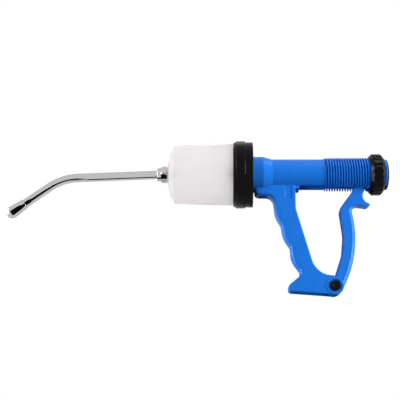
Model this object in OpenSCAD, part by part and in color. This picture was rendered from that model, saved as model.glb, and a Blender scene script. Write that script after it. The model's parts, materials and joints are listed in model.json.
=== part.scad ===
// Livestock drencher: a hand-squeezed dosing gun with a hooked steel nozzle,
// a milky barrel, a black collar, a blue body with a finger grip and a palm lever.
// The parts are drafted on the barrel axis: x = 0 at the collar's rear face, the nozzle towards -x,
// the grip hanging down in -z. The finished part has its origin at the middle of the grip.

/* [Barrel] */
// Bore of the dosing barrel
barrel_bore_d = 63; // [54:0.5:70]
// Wall at the front end of the bore
barrel_front_wall = 2.1; // [1.4:0.1:2.5]
// Wall just in front of the collar
barrel_rear_wall = 3.7; // [3:0.1:5]
// Length of the front cone
cone_len = 8.1; // [6:0.1:12]
// Wall of the front cone, measured along the axis
cone_wall = 1.8; // [1.2:0.1:3]
// Diameter of the cone's flat front
cone_front_d = 25.2; // [20:0.2:30]
// Outside diameter of the outlet spigot that the union nut screws on
spigot_d = 13.6; // [12:0.1:14.5]
// Length of the outlet spigot
spigot_len = 5.6; // [4:0.1:8]
// Bore of the outlet
outlet_d = 6; // [4:0.1:7]
// Diameter of the moulded boss on the cone
gate_boss_d = 9; // [6:0.5:12]
// How far that boss stands out of the cone
gate_boss_rise = 2.6; // [1:0.1:3]

/* [Collar] */
// Length of the collar
collar_len = 22.3; // [20:0.1:28]
// Wall of the collar outside the barrel's rear band
collar_wall = 3; // [2:0.1:4]
// Thickness of the rear lip that holds the body flange
collar_lip = 3; // [2:0.1:4]
// How far the grip pads stand out
pad_rise = 1.2; // [0.8:0.1:2.5]
// Length of a grip pad
pad_len = 10.4; // [6:0.1:12]
// Distance of the pads from the rear face
pad_setback = 8.9; // [6:0.1:9.5]
// Angle that one pad covers
pad_arc = 57; // [30:1:70]
// Number of pads
pad_count = 4; // [3:1:5]

/* [Body] */
// Thickness of the flange inside the collar
flange_t = 6; // [4:0.1:7]
// Outside diameter of the rear tube
tube_d = 35.5; // [33:0.5:38]
// Wall of the rear tube
tube_wall = 4.75; // [3.5:0.05:5]
// How much the neck stands out of the tube
neck_step = 2.95; // [2:0.05:5]
// Length of the neck behind the collar
neck_len = 11.9; // [10:0.1:15]
// Length of the taper from neck to tube
neck_taper = 10.4; // [6:0.1:14]
// Length of the threaded stretch
thread_len = 71; // [40:1:74]
// Thread pitch
thread_pitch = 3; // [2.5:0.1:4]
// Height of the thread
thread_rise = 1.5; // [1:0.1:2]
// Tube left behind the dose nut
tube_tail = 2.9; // [2.5:0.1:6]

/* [Grip] */
// Distance of the lever pivot behind the collar
pivot_x = 87; // [82:0.5:92]
// Distance of the lever pivot below the barrel axis
pivot_drop = 128.5; // [124:0.5:134]
// Thickness of the grip
grip_t = 19; // [17:0.5:22]
// Depth of the web under the neck, from the barrel axis
web_depth = 26.6; // [25:0.2:29]
// Diameter of the boss round the pivot
boss_d = 19; // [18:0.5:21]
// How far that boss stands out of the grip
boss_rise = 0.8; // [0.4:0.1:1.5]
// Diameter of the pivot pin's shank
pivot_pin_d = 8; // [6:0.5:9]
// Diameter of the pivot pin's head
pivot_head_d = 11.4; // [10.5:0.1:12.5]

/* [Lever] */
// Thickness of the lever
lever_t = 11.6; // [10:0.2:12.4]
// Diameter of the lever's hub
hub_d = 19; // [18:0.5:21]
// Backward lean of the lever at rest
lever_lean = 18.5; // [17:0.1:20]
// Width of the fork at the top of the lever
fork_w = 15.2; // [14.4:0.2:16.4]

/* [Plunger] */
// Travel of the plunger at full dose
stroke = 64; // [54:0.5:66]
// Diameter of the plunger rod
rod_d = 10; // [8:0.5:11]
// Diameter of the cross pin in the yoke
cross_pin_d = 6; // [5:0.1:6.6]
// Thickness of the front piston plate
piston_front_t = 5; // [4:0.1:7]
// Thickness of the piston seal
seal_t = 4; // [3:0.1:5]
// Thickness of the rear piston plate
piston_back_t = 3.4; // [3:0.1:5]
// Diameter of the rod's front stud
stud_d = 6; // [5:0.5:7]
// Wire of the return spring
spring_wire = 1.8; // [1.2:0.1:2]
// Turns of the return spring
spring_turns = 12; // [8:1:13]

/* [Dose nut] */
// Length of the dose nut
dose_nut_len = 16; // [12:0.2:18]
// Wall of the dose nut outside the thread, under its ribs
dose_nut_wall = 3.4; // [3:0.1:5]
// How far the ribs stand out
rib_rise = 1; // [0.6:0.1:1.5]
// Number of ribs
rib_count = 20; // [12:1:26]
// Distance of the dose nut behind the cross pin
dose_setback = 1.9; // [1.7:0.1:5]

/* [Nozzle] */
// Outside diameter of the nozzle tube
nozzle_d = 9.7; // [8:0.1:10]
// Wall of the nozzle tube
nozzle_wall = 1; // [0.8:0.1:1.4]
// Length of the straight run in front of the union
nozzle_run = 92; // [60:1:130]
// Droop of the straight run
nozzle_droop = 2.3; // [1:0.1:4]
// Slope of the inclined end
nozzle_slope = 36.8; // [25:0.1:50]
// Centreline radius of the bend
nozzle_bend_r = 57; // [30:1:80]
// Length of the inclined run, up to the tip
nozzle_end_run = 32.8; // [24:0.1:50]
// Length of the bulb tip
tip_len = 23.8; // [20:0.1:28]
// Largest diameter of the bulb tip
tip_d = 13.8; // [12.5:0.1:17]
// Bore at the mouth of the tip
mouth_d = 5; // [3:0.1:6]
// Width across the flats of the union nut
union_af = 17; // [16.4:0.1:20]
// Length of the union nut's hexagon
union_hex_len = 6.7; // [5.5:0.1:9]
// Length of the union nut's round front
union_ring_len = 4.6; // [3:0.1:8]
// Outside diameter of the union nut's round front
union_ring_d = 15.2; // [14:0.1:16]

/* [Hidden] */
$fn = 96;

// Clearances and overruns
snug = 0.02;
run_fit = 0.06;
side_gap = 0.3;
axial_gap = 0.1;
clear_gap = 0.6;
overrun = 5;
quarter = 90;
hex_sides = 6;

// Steps in one rounded corner of an outline
corner_steps = 6;

// Middle of the grip, as shares of the pivot's place: the origin of the finished part
grip_middle_share = [0.51, 0.58];
grip_x = pivot_x * grip_middle_share[0];
grip_z = -pivot_drop * grip_middle_share[1];

// Lever kinematics: the pin stays on the barrel axis and slides in the lever's fork
pin_x = pivot_x + pivot_drop * tan(lever_lean);
pin_reach = pivot_drop / cos(lever_lean);
pin_slack = 0.75;
fork_bias = 0.36;

// Tube, bore and slot
tube_r = tube_d / 2;
tube_bore_r = tube_r - tube_wall;
crest_r = tube_r + thread_rise;
neck_r = tube_r + neck_step;
slot_side_gap = 2.7;
slot_w = lever_t + 2 * slot_side_gap;
slot_margin = 13.7;
slot_front_x = pin_x - stroke - slot_margin;
dose_front_x = pin_x + dose_setback;
tube_end_x = dose_front_x + dose_nut_len + tube_tail;
thread_x = tube_end_x - thread_len;
crest_share = 0.3;
flank_share = 0.25;
thread_turns = floor(thread_len / thread_pitch) - 1;

// Barrel and flange stations along the axis
bore_r = barrel_bore_d / 2;
flange_front_x = -collar_lip - flange_t;
gasket_t = 1.2;
rim_x = flange_front_x - gasket_t;
band_step = 0.8;
mouth_len = 1.92;
band_x = -collar_len + mouth_len;
rear_r = bore_r + barrel_rear_wall;
band_r = rear_r - band_step;
front_r = bore_r + barrel_front_wall;
flange_gap = 0.2;
flange_r = band_r - flange_gap;

// Piston stack, from the rear
piston_back_x = flange_front_x - clear_gap;
seal_back_x = piston_back_x - piston_back_t;
plate_back_x = seal_back_x - seal_t;
piston_face_x = plate_back_x - piston_front_t;
plate_gap = 0.4;
washer_t = 1.2;
washer_margin = 3.5;
piston_nut_t = 5;
piston_nut_margin = 2.6;
stud_end = 1;

// Front of the barrel
front_gap = 1;
bore_end_x = piston_face_x - stroke - front_gap;
corner_x = bore_end_x - cone_wall;
cone_front_x = corner_x - cone_len;
spigot_x = cone_front_x - spigot_len;
inner_cone_x = cone_front_x + cone_wall;
inner_cone_r = cone_front_d / 2 - cone_wall;
spigot_r = spigot_d / 2;
outlet_r = outlet_d / 2;
gate_boss_share = 0.55;
cone_knee_shares = [0.31, 0.5];

// Collar
collar_in_r = band_r + run_fit;
collar_r = collar_in_r + collar_wall;
mouth_r = rear_r + side_gap;
collar_chamfer = 2;
rear_edge = 0.8;
pad_sink = 1;
pad_phase = -11.5;

// Bush, washer and spring round the rod
rod_r = rod_d / 2;
bush_wall = 4;
bush_r = rod_r + bush_wall;
bush_lip = 2;
bush_seat_x = neck_len;
bore_gap = 0.4;
spring_seat_t = 1.2;
spring_seat_x = bush_seat_x + bush_lip + spring_seat_t;
spring_clear = 2.3;
spring_r = tube_bore_r - spring_clear - spring_wire / 2;
spring_sides = 6;
spring_steps = 14;

// Yoke behind the spring
yoke_r = tube_bore_r - axial_gap;
yoke_front = 24;
yoke_back = 11;
yoke_slot_front = 14.5;
yoke_slot_w = lever_t + 2 * side_gap;
yoke_x = pin_x - yoke_front;
stud_shoulder = 1;
stud_rear_d = rod_d - 2 * stud_shoulder;
stud_rear_len = 8;
cross_pin_share = 0.93;

// Grip: corners as shares of the pivot's place, with a rounding radius as a share of the drop
gusset_len = 4.5;
grip_back_x = slot_front_x - gusset_len;
gusset_drop = 1.2;
web_gap = 1.6;
web_chamfer = 2.2;
web_corner_share = 0.254;
web_round_share = 0.07;
front_corner_shares = [[0.281, 0.385, 0.2], [0.358, 0.478, 0.03], [0.375, 0.576, 0.2],
                       [0.467, 0.672, 0.03], [0.47, 0.778, 0.18], [0.606, 0.9, 0.05],
                       [0.432, 0.997, 0.024], [0.432, 1.048, 0.024]];
heel_corner_share = 0.785;
heel_round_share = 0.178;
heel_lift = 1.5;
back_corner_share = 0.335;
back_round_share = 0.06;
bottom_share = 0.5;
boss_r = boss_d / 2;
hub_r = hub_d / 2;
fork_slot_w = lever_t + 2 * side_gap;
fork_relief = 3.5;
head_recess = 1.6;
recess_margin = 1.5;
head_t = 1.5;
pin_r = pivot_pin_d / 2;
pin_tail_share = 0.6;
panel_shares = [0.415, 0.495, 0.125, 0.235];
panel_depth = 0.35;

// Lever: corners measured from the pivot, as shares of the drop, with a rounding radius
lever_front_shares = [[0.002, 0.054, 0], [0.077, 0.268, 0.08], [0.097, 0.432, 0.3],
                      [0.073, 0.672, 0.08], [0.186, 0.822, 0.06], [0.236, 0.922, 0]];
lever_back_shares = [[0.326, 0.9, 0], [0.262, 0.757, 0.07], [0.352, 0.714, 0.01],
                     [0.316, 0.692, 0.01], [0.1734, 0.7104, 0.047], [0.2504, 0.2846, 0.96],
                     [0.0631, -0.0356, 0]];
fork_foot_share = 0.9;
fork_top = 2;
fork_round = 2;

// Dose nut
dose_in_r = crest_r + run_fit;
dose_r = crest_r + dose_nut_wall;
dose_shoulder = 3.6;
dose_edge = 3.2;
rib_width_share = 0.68;
ring_len = 2.4;
ring_wall = 1.2;
ring_inset = 1;
plug_lip = 1.5;
plug_len = 6;
plug_wall = 2;
plug_margin = 0.4;

// Union and nozzle
nozzle_r = nozzle_d / 2;
nozzle_gasket_t = 1;
ferrule_t = 1.6;
ferrule_x = spigot_x - nozzle_gasket_t;
ferrule_r = spigot_r - side_gap;
union_rear_gap = 1.2;
union_rear_x = cone_front_x - union_rear_gap;
union_shoulder_x = ferrule_x - ferrule_t - axial_gap;
union_hex_x = union_rear_x - union_hex_len;
union_front_x = min(union_hex_x - union_ring_len, union_shoulder_x - union_ring_len / 2);
union_turn = 14.5;
kink_r = 60;
weld_in = 0.5;
weld_step = 0.03;
stub_end_x = union_front_x + union_ring_len / 2;
tip_socket = 10;
tip_neck_wall = 0.6;

function unit(v) = v / norm(v);

// Arc of radius r that rounds the corner at q between the points p and n
function fillet(p, q, n, r) =
    let (u = unit(p - q), v = unit(n - q), half = acos(u * v) / 2)
    let (c = q + unit(u + v) * r / sin(half), a = q + u * r / tan(half) - c)
    let (b = q + v * r / tan(half) - c, start = atan2(a[1], a[0]))
    let (side = sign(a[0] * b[1] - a[1] * b[0]), turn = side * acos(unit(a) * unit(b)))
    [for (i = [0:corner_steps]) c + r * [cos(start + turn * i / corner_steps),
                                         sin(start + turn * i / corner_steps)]];

// Closed outline through corners given as [x, z, rounding radius]
function outline(corners) =
    let (n = len(corners), at = [for (c = corners) [c[0], c[1]]])
    [for (i = [0:n - 1])
        each corners[i][2] == 0 ? [at[i]]
             : fillet(at[(i + n - 1) % n], at[i], at[(i + 1) % n], corners[i][2])];

// Moves the drafted parts so that the origin is the middle of the grip
module placed() {
    translate([-grip_x, 0, -grip_z]) children();
}

// Solid of revolution about the barrel axis: points are [radius, x]
module turned(points) {
    rotate([0, quarter, 0]) rotate_extrude() polygon(points);
}

// Plain ring about the barrel axis
module ring(r_in, r_out, x0, x1) {
    turned([[r_in, x0], [r_out, x0], [r_out, x1], [r_in, x1]]);
}

// Round bar along the barrel axis
module bar(r, x0, x1) {
    translate([x0, 0, 0]) rotate([0, quarter, 0]) cylinder(r = r, h = x1 - x0);
}

// Round bar across the part, from y0 to y1, at [x, z]
module cross_bar(r, y0, y1, at) {
    translate([at[0], y1, at[1]]) rotate([quarter, 0, 0]) cylinder(r = r, h = y1 - y0);
}

// Plate of an [x, z] outline, centred on the mid plane
module plate(points, t) {
    rotate([quarter, 0, 0]) linear_extrude(t, center = true) polygon(points);
}

// Knee of the front cone between two points [radius, x]
function cone_knee(a, b) = [a[0] + (b[0] - a[0]) * cone_knee_shares[1],
                            a[1] + (b[1] - a[1]) * cone_knee_shares[0]];

module barrel() {
    front = [cone_front_d / 2, cone_front_x];
    corner = [front_r, corner_x];
    inner_front = [inner_cone_r, inner_cone_x];
    inner_corner = [bore_r, bore_end_x];
    boss_at = cone_front_x + cone_len * gate_boss_share;
    boss_z = cone_front_d / 2 + (front_r - cone_front_d / 2) * gate_boss_share;
    color("whitesmoke") placed() difference() {
        union() {
            turned([[0, spigot_x], [spigot_r, spigot_x], [spigot_r, cone_front_x],
                    front, cone_knee(front, corner), corner, [rear_r, band_x],
                    [band_r, band_x], [band_r, rim_x], [0, rim_x]]);
            translate([0, 0, boss_z - gate_boss_d / 2])
                bar(gate_boss_d / 2, boss_at - gate_boss_rise, bore_end_x);
        }
        turned([[0, inner_cone_x], inner_front, cone_knee(inner_front, inner_corner), inner_corner,
                [bore_r, rim_x + overrun], [0, rim_x + overrun]]);
        bar(outlet_r, spigot_x - overrun, inner_cone_x + overrun);
    }
}

module barrel_gasket() {
    color("dimgray") placed() ring(bore_r, band_r - side_gap, rim_x, flange_front_x);
}

module collar() {
    color([0.06, 0.06, 0.07]) placed() {
        turned([[mouth_r, -collar_len], [collar_r - collar_chamfer / 2, -collar_len],
                [collar_r, -collar_len + collar_chamfer], [collar_r, -rear_edge],
                [collar_r - rear_edge, 0], [neck_r + side_gap, 0],
                [neck_r + side_gap, -collar_lip + axial_gap],
                [collar_in_r, -collar_lip + axial_gap],
                [collar_in_r, band_x + axial_gap], [mouth_r, band_x + axial_gap]]);
        for (i = [0:pad_count - 1])
            rotate([0, quarter, 0])
                rotate([0, 0, pad_phase - pad_arc / 2 + i * 360 / pad_count])
                    rotate_extrude(angle = pad_arc)
                        translate([collar_r - pad_sink, -pad_setback - pad_len])
                            square([pad_sink + pad_rise, pad_len]);
    }
}

// Outline of one thread tooth after another along the tube, as [radius, x]
function thread_profile() =
    [for (i = [0:thread_turns - 1])
        let (x = thread_x + i * thread_pitch, flank = thread_pitch * flank_share)
        each [[tube_r, x], [crest_r, x + flank],
              [crest_r, x + flank + thread_pitch * crest_share],
              [tube_r, x + 2 * flank + thread_pitch * crest_share]]];

// Side view of the web and the finger grip, down to the middle of the pivot
function grip_outline() =
    let (sized = function (s) [pivot_x * s[0], -pivot_drop * s[1], pivot_drop * s[2]])
    let (bottom = -pivot_drop - boss_r, top = -pivot_drop + boss_r + heel_lift)
    outline(concat(
        [[web_gap, -tube_r * bottom_share, 0], [web_gap, -web_depth + web_chamfer, 0],
         [web_gap + web_chamfer, -web_depth, 0]],
        [[pivot_x * web_corner_share, -web_depth, pivot_drop * web_round_share]],
        [for (s = front_corner_shares) sized(s)],
        [[pivot_x, bottom, 0], [pivot_x, top, 0]],
        [[pivot_x * heel_corner_share, top, pivot_drop * heel_round_share],
         [grip_back_x, -pivot_drop * back_corner_share, pivot_drop * back_round_share],
         [grip_back_x, -tube_r * bottom_share, 0]]));

module body() {
    pivot = [pivot_x, -pivot_drop];
    half = grip_t / 2;
    face = half + boss_rise;
    color("royalblue") placed() difference() {
        union() {
            turned(concat([[0, flange_front_x], [flange_r, flange_front_x],
                           [flange_r, -collar_lip], [neck_r, -collar_lip], [neck_r, neck_len],
                           [tube_r, neck_len + neck_taper]],
                          thread_profile(), [[tube_r, tube_end_x], [0, tube_end_x]]));
            plate(grip_outline(), grip_t);
            cross_bar(boss_r, -face, face, pivot);
            translate([grip_back_x - overrun, -slot_w / 2, -tube_r - gusset_drop])
                cube([gusset_len + overrun, slot_w, tube_r + gusset_drop - tube_bore_r]);
        }
        bar(bush_r + snug, flange_front_x - overrun, bush_seat_x + overrun);
        bar(tube_bore_r, bush_seat_x, tube_end_x + overrun);
        translate([slot_front_x, -slot_w / 2, -crest_r - overrun])
            cube([tube_end_x - slot_front_x + overrun, slot_w, crest_r + overrun]);
        cross_bar(hub_r + fork_relief, -fork_slot_w / 2, fork_slot_w / 2, pivot);
        cross_bar(pin_r + snug, -face - overrun, face + overrun, pivot);
        for (side = [-1, 1])
            translate([0, side * (face - head_recess / 2), 0])
                cross_bar(pivot_head_d / 2 + recess_margin, -head_recess / 2, head_recess / 2, pivot);
        for (side = [-1, 1])
            translate([pivot_x * panel_shares[0], side * half - panel_depth,
                       -pivot_drop * panel_shares[3]])
                cube([pivot_x * (panel_shares[1] - panel_shares[0]), 2 * panel_depth,
                      pivot_drop * (panel_shares[3] - panel_shares[2])]);
    }
}

module rod_bush() {
    color("ivory") placed()
        turned([[rod_r + run_fit, flange_front_x], [bush_r, flange_front_x], [bush_r, bush_seat_x],
                [tube_bore_r - bore_gap, bush_seat_x],
                [tube_bore_r - bore_gap, bush_seat_x + bush_lip],
                [rod_r + run_fit, bush_seat_x + bush_lip]]);
}

module spring_washer() {
    color("silver") placed()
        ring(rod_r + clear_gap, tube_bore_r - bore_gap, bush_seat_x + bush_lip, spring_seat_x);
}

module return_spring() {
    start = spring_seat_x + spring_wire / 2 + axial_gap;
    length = yoke_x - axial_gap - spring_wire / 2 - start;
    count = spring_turns * spring_steps;
    centres = [for (i = [0:count])
        [start + length * i / count, spring_r * cos(360 * i / spring_steps),
         spring_r * sin(360 * i / spring_steps)]];
    points = [for (i = [0:count], k = [0:spring_sides - 1])
        let (turn = 360 * i / spring_steps, out = [0, cos(turn), sin(turn)])
        let (angle = 360 * k / spring_sides)
        centres[i] + spring_wire / 2 * (out * cos(angle) + [sin(angle), 0, 0])];
    sides = [for (i = [0:count - 1], k = [0:spring_sides - 1])
        let (next = (k + 1) % spring_sides, a = i * spring_sides, b = a + spring_sides)
        [a + k, b + k, b + next, a + next]];
    first = [for (k = [0:spring_sides - 1]) k];
    last = [for (k = [spring_sides - 1:-1:0]) count * spring_sides + k];
    color("lightsteelblue") placed() polyhedron(points, concat(sides, [first, last]));
}

module rear_plug() {
    plug_r = tube_bore_r - snug;
    color([0.08, 0.08, 0.09]) placed()
        turned([[0, tube_end_x], [plug_r - plug_wall, tube_end_x],
                [plug_r - plug_wall, tube_end_x - plug_len], [plug_r, tube_end_x - plug_len],
                [plug_r, tube_end_x], [tube_r - plug_margin, tube_end_x],
                [tube_r - plug_margin, tube_end_x + plug_lip], [0, tube_end_x + plug_lip]]);
}

module pivot_pin() {
    pivot = [pivot_x, -pivot_drop];
    seat = grip_t / 2 + boss_rise - head_recess;
    color([0.08, 0.08, 0.09]) placed() {
        cross_bar(pivot_head_d / 2, -seat - head_t, -seat, pivot);
        cross_bar(pin_r, -seat, seat, pivot);
        cross_bar(pin_r * pin_tail_share, seat, seat + head_t, pivot);
    }
}

module pivot_cap() {
    pivot = [pivot_x, -pivot_drop];
    seat = grip_t / 2 + boss_rise - head_recess;
    color([0.1, 0.1, 0.11]) placed() difference() {
        cross_bar(pivot_head_d / 2, seat, seat + head_t, pivot);
        cross_bar(pin_r * pin_tail_share + snug, seat - overrun, seat + head_t + overrun, pivot);
    }
}

module lever() {
    pivot = [pivot_x, -pivot_drop];
    sized = function (s) [pivot_x + pivot_drop * s[0], -pivot_drop * (1 - s[1]), pivot_drop * s[2]];
    fork_foot = pivot_drop * (1 - fork_foot_share) / 2;
    slot_half = cross_pin_d / 2 + pin_slack;
    slot_foot = pivot_drop - slot_half - pin_slack;
    color("cornflowerblue") placed() difference() {
        union() {
            plate(outline([for (s = concat(lever_front_shares, lever_back_shares)) sized(s)]), lever_t);
            cross_bar(hub_r, -lever_t / 2, lever_t / 2, pivot);
            translate([pivot_x, 0, -pivot_drop]) rotate([0, lever_lean, 0])
                plate(outline([[-fork_w / 2, pivot_drop - fork_foot, 0],
                               [fork_w / 2, pivot_drop - fork_foot, 0],
                               [fork_w / 2, pin_reach + fork_top, fork_round],
                               [-fork_w / 2, pin_reach + fork_top, fork_round]]), lever_t);
        }
        translate([pivot_x, 0, -pivot_drop]) rotate([0, lever_lean, 0]) {
            cross_bar(slot_half, -lever_t, lever_t, [fork_bias, slot_foot + slot_half]);
            translate([fork_bias - slot_half, -lever_t, slot_foot + slot_half])
                cube([2 * slot_half, 2 * lever_t, pin_reach]);
        }
        cross_bar(pin_r + run_fit, -lever_t, lever_t, pivot);
    }
}

module plunger_rod() {
    front = piston_face_x - washer_t - piston_nut_t - stud_end;
    back = yoke_x + stud_rear_len;
    color("silver") placed()
        turned([[0, front], [stud_d / 2, front], [stud_d / 2, piston_back_x], [rod_r, piston_back_x],
                [rod_r, yoke_x], [stud_rear_d / 2, yoke_x], [stud_rear_d / 2, back], [0, back]]);
}

module yoke() {
    color("dimgray") placed() difference() {
        bar(yoke_r, yoke_x, pin_x + yoke_back);
        bar(stud_rear_d / 2 + snug, yoke_x - overrun, yoke_x + stud_rear_len);
        translate([pin_x - yoke_slot_front, -yoke_slot_w / 2, -tube_r])
            cube([yoke_slot_front + yoke_back + overrun, yoke_slot_w, tube_d]);
        cross_bar(cross_pin_d / 2 + snug, -tube_r, tube_r, [pin_x, 0]);
    }
}

module cross_pin() {
    half = yoke_r * cross_pin_share;
    color("lightgray") placed() cross_bar(cross_pin_d / 2, -half, half, [pin_x, 0]);
}

module piston_front() {
    color([0.2, 0.2, 0.22]) placed()
        ring(stud_d / 2 + snug, bore_r - plate_gap, piston_face_x, plate_back_x);
}

module piston_seal() {
    color([0.12, 0.12, 0.13]) placed()
        ring(stud_d / 2 + snug, bore_r - run_fit, plate_back_x, seal_back_x);
}

module piston_back() {
    color([0.2, 0.2, 0.22]) placed()
        ring(stud_d / 2 + snug, bore_r - plate_gap, seal_back_x, piston_back_x);
}

module piston_washer() {
    color("silver") placed()
        ring(stud_d / 2 + snug, stud_d / 2 + washer_margin, piston_face_x - washer_t, piston_face_x);
}

module piston_nut() {
    front = piston_face_x - washer_t - piston_nut_t;
    color("silver") placed() difference() {
        translate([front, 0, 0]) rotate([0, quarter, 0])
            cylinder(r = stud_d / 2 + piston_nut_margin, h = piston_nut_t, $fn = hex_sides);
        bar(stud_d / 2 + snug, front - overrun, piston_face_x + overrun);
    }
}

module friction_ring() {
    color("ivory") placed()
        ring(dose_in_r, dose_in_r + ring_wall, dose_front_x + ring_inset,
             dose_front_x + ring_inset + ring_len);
}

module dose_nut() {
    back = dose_front_x + dose_nut_len;
    groove_r = dose_in_r + ring_wall + run_fit;
    groove_x = dose_front_x + ring_inset - axial_gap;
    rib_w = 2 * PI * dose_r / rib_count * rib_width_share;
    color([0.07, 0.07, 0.08]) placed() difference() {
        intersection() {
            union() {
                bar(dose_r, dose_front_x, back);
                for (i = [0:rib_count - 1])
                    rotate([i * 360 / rib_count, 0, 0])
                        translate([dose_front_x, -rib_w / 2, 0])
                            cube([dose_nut_len, rib_w, dose_r + rib_rise]);
            }
            turned([[0, dose_front_x], [dose_r + rib_rise - dose_shoulder, dose_front_x],
                    [dose_r + rib_rise, dose_front_x + dose_shoulder],
                    [dose_r + rib_rise, back - dose_edge],
                    [dose_r + rib_rise - dose_edge, back], [0, back]]);
        }
        bar(dose_in_r, dose_front_x - overrun, back + overrun);
        bar(groove_r, groove_x, groove_x + ring_len + 2 * axial_gap);
    }
}

module nozzle_gasket() {
    color("dimgray") placed() ring(outlet_r, ferrule_r, ferrule_x, spigot_x);
}

module union_nut() {
    hex_r = union_af / 2 / cos(180 / hex_sides);
    color("silver") placed() difference() {
        union() {
            translate([union_hex_x, 0, 0]) rotate([union_turn, 0, 0]) rotate([0, quarter, 0])
                cylinder(r = hex_r, h = union_hex_len, $fn = hex_sides);
            bar(union_ring_d / 2, union_front_x, union_hex_x);
        }
        bar(spigot_r + run_fit, union_shoulder_x, union_rear_x + overrun);
        bar(nozzle_r + side_gap / 2, union_front_x - overrun, union_rear_x);
    }
}

module nozzle_ferrule() {
    color("silver") placed() ring(nozzle_r + snug, ferrule_r, ferrule_x - ferrule_t, ferrule_x);
}

// Straight tube from the local origin along -x, a hair slimmer than the bends that it runs into
module tube_run(r, length, before = weld_in, after = weld_in) {
    translate([before, 0, 0]) rotate([0, -quarter, 0])
        cylinder(r = r - weld_step, h = before + length + after);
}

// Tube bent downwards through an angle, starting at the local origin along -x
module tube_bend(r, bend_r, angle) {
    translate([0, 0, -bend_r]) rotate([quarter, 0, 0]) rotate([0, 0, quarter])
        rotate_extrude(angle = angle) translate([bend_r, 0]) circle(r = r);
}

// Moves what follows to the far end of a run, or of a downward bend
module after_run(length) {
    translate([-length, 0, 0]) children();
}
module after_bend(bend_r, angle) {
    translate([-bend_r * sin(angle), 0, -bend_r * (1 - cos(angle))]) rotate([0, -angle, 0]) children();
}

// Frame at the start of the nozzle's inclined end, with the tube leaving along -x
module at_nozzle_end() {
    translate([stub_end_x, 0, 0]) after_bend(kink_r, nozzle_droop) after_run(nozzle_run)
        after_bend(nozzle_bend_r, nozzle_slope - nozzle_droop) children();
}

// The nozzle's whole path as a solid of one radius, drawn longer at both ends by what ends says
module nozzle_path(r, ends = 0) {
    translate([ferrule_x, 0, 0]) tube_run(r, ferrule_x - stub_end_x, before = ends);
    translate([stub_end_x, 0, 0]) {
        tube_bend(r, kink_r, nozzle_droop);
        after_bend(kink_r, nozzle_droop) {
            tube_run(r, nozzle_run);
            after_run(nozzle_run) tube_bend(r, nozzle_bend_r, nozzle_slope - nozzle_droop);
        }
    }
    at_nozzle_end() tube_run(r, nozzle_end_run + tip_socket - axial_gap, after = ends);
}

module nozzle_tube() {
    color("gainsboro") placed() difference() {
        nozzle_path(nozzle_r);
        nozzle_path(nozzle_r - nozzle_wall, ends = overrun);
    }
}

module nozzle_tip() {
    neck = nozzle_r + tip_neck_wall;
    ball = tip_d / 2;
    ball_at = tip_len - ball;
    color("gainsboro") placed() at_nozzle_end() after_run(nozzle_end_run)
        rotate([0, -quarter, 0]) difference() {
            union() {
                cylinder(r1 = neck, r2 = ball, h = ball_at);
                translate([0, 0, ball_at]) sphere(r = ball);
            }
            translate([0, 0, -overrun]) cylinder(r = nozzle_r + snug, h = tip_socket + overrun);
            cylinder(r = mouth_d / 2, h = tip_len + overrun);
        }
}

barrel();
barrel_gasket();
collar();
body();
rod_bush();
spring_washer();
return_spring();
rear_plug();
pivot_pin();
pivot_cap();
lever();
plunger_rod();
yoke();
cross_pin();
piston_front();
piston_seal();
piston_back();
piston_washer();
piston_nut();
friction_ring();
dose_nut();
nozzle_gasket();
union_nut();
nozzle_ferrule();
nozzle_tube();
nozzle_tip();
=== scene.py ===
# %% [markdown]
# # Dressing a livestock drencher
# A drencher is a hand-squeezed dosing gun: a hooked metal nozzle, a milky barrel, a black collar,
# a blue body with a finger grip, and a palm lever that pushes a sprung plunger. The solids are
# already built. This lesson puts a finished surface over each of them, piece by piece. Every size
# below is in millimetres from one datum: the barrel's axis at the rear face of the collar.

# %% Load the frame and fix the datum
import json
import math

import bmesh
import bpy
import numpy as np
from mathutils import Matrix, Vector


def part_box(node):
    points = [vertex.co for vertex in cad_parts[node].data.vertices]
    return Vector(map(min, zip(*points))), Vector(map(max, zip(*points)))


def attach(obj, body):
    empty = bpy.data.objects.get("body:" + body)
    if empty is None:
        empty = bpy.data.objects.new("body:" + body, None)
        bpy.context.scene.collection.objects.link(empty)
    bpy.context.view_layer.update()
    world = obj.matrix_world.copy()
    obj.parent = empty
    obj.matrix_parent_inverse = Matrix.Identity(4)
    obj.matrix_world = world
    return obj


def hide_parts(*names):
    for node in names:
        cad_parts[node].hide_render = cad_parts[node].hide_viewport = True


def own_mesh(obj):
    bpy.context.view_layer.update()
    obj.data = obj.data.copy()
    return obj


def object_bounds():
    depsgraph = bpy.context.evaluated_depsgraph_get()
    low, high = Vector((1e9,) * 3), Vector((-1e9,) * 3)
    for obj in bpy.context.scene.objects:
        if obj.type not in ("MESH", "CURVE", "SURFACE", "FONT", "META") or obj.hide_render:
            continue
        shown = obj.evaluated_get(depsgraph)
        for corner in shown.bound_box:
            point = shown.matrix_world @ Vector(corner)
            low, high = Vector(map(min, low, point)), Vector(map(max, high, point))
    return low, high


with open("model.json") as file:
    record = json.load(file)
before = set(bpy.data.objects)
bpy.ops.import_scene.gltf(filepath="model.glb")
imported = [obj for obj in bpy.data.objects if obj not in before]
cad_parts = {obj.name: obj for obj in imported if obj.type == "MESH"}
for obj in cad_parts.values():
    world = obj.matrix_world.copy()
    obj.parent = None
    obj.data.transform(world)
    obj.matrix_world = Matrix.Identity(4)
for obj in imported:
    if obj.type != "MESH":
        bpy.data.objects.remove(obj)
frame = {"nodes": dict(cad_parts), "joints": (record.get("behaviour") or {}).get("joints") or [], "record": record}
cad_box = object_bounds()
MM = 0.001
joints = {joint["name"]: joint for joint in frame["joints"]}
slot_of = {part["node"]: part["material_slot"] for part in frame["record"]["subparts"]}
body_of = {node: body for body, nodes in frame["record"]["behaviour"]["bodies"].items() for node in nodes}
datum = np.array([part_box("collar")[1].x, 0.0, joints["collar_turn"]["pos_m"][2]])
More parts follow.
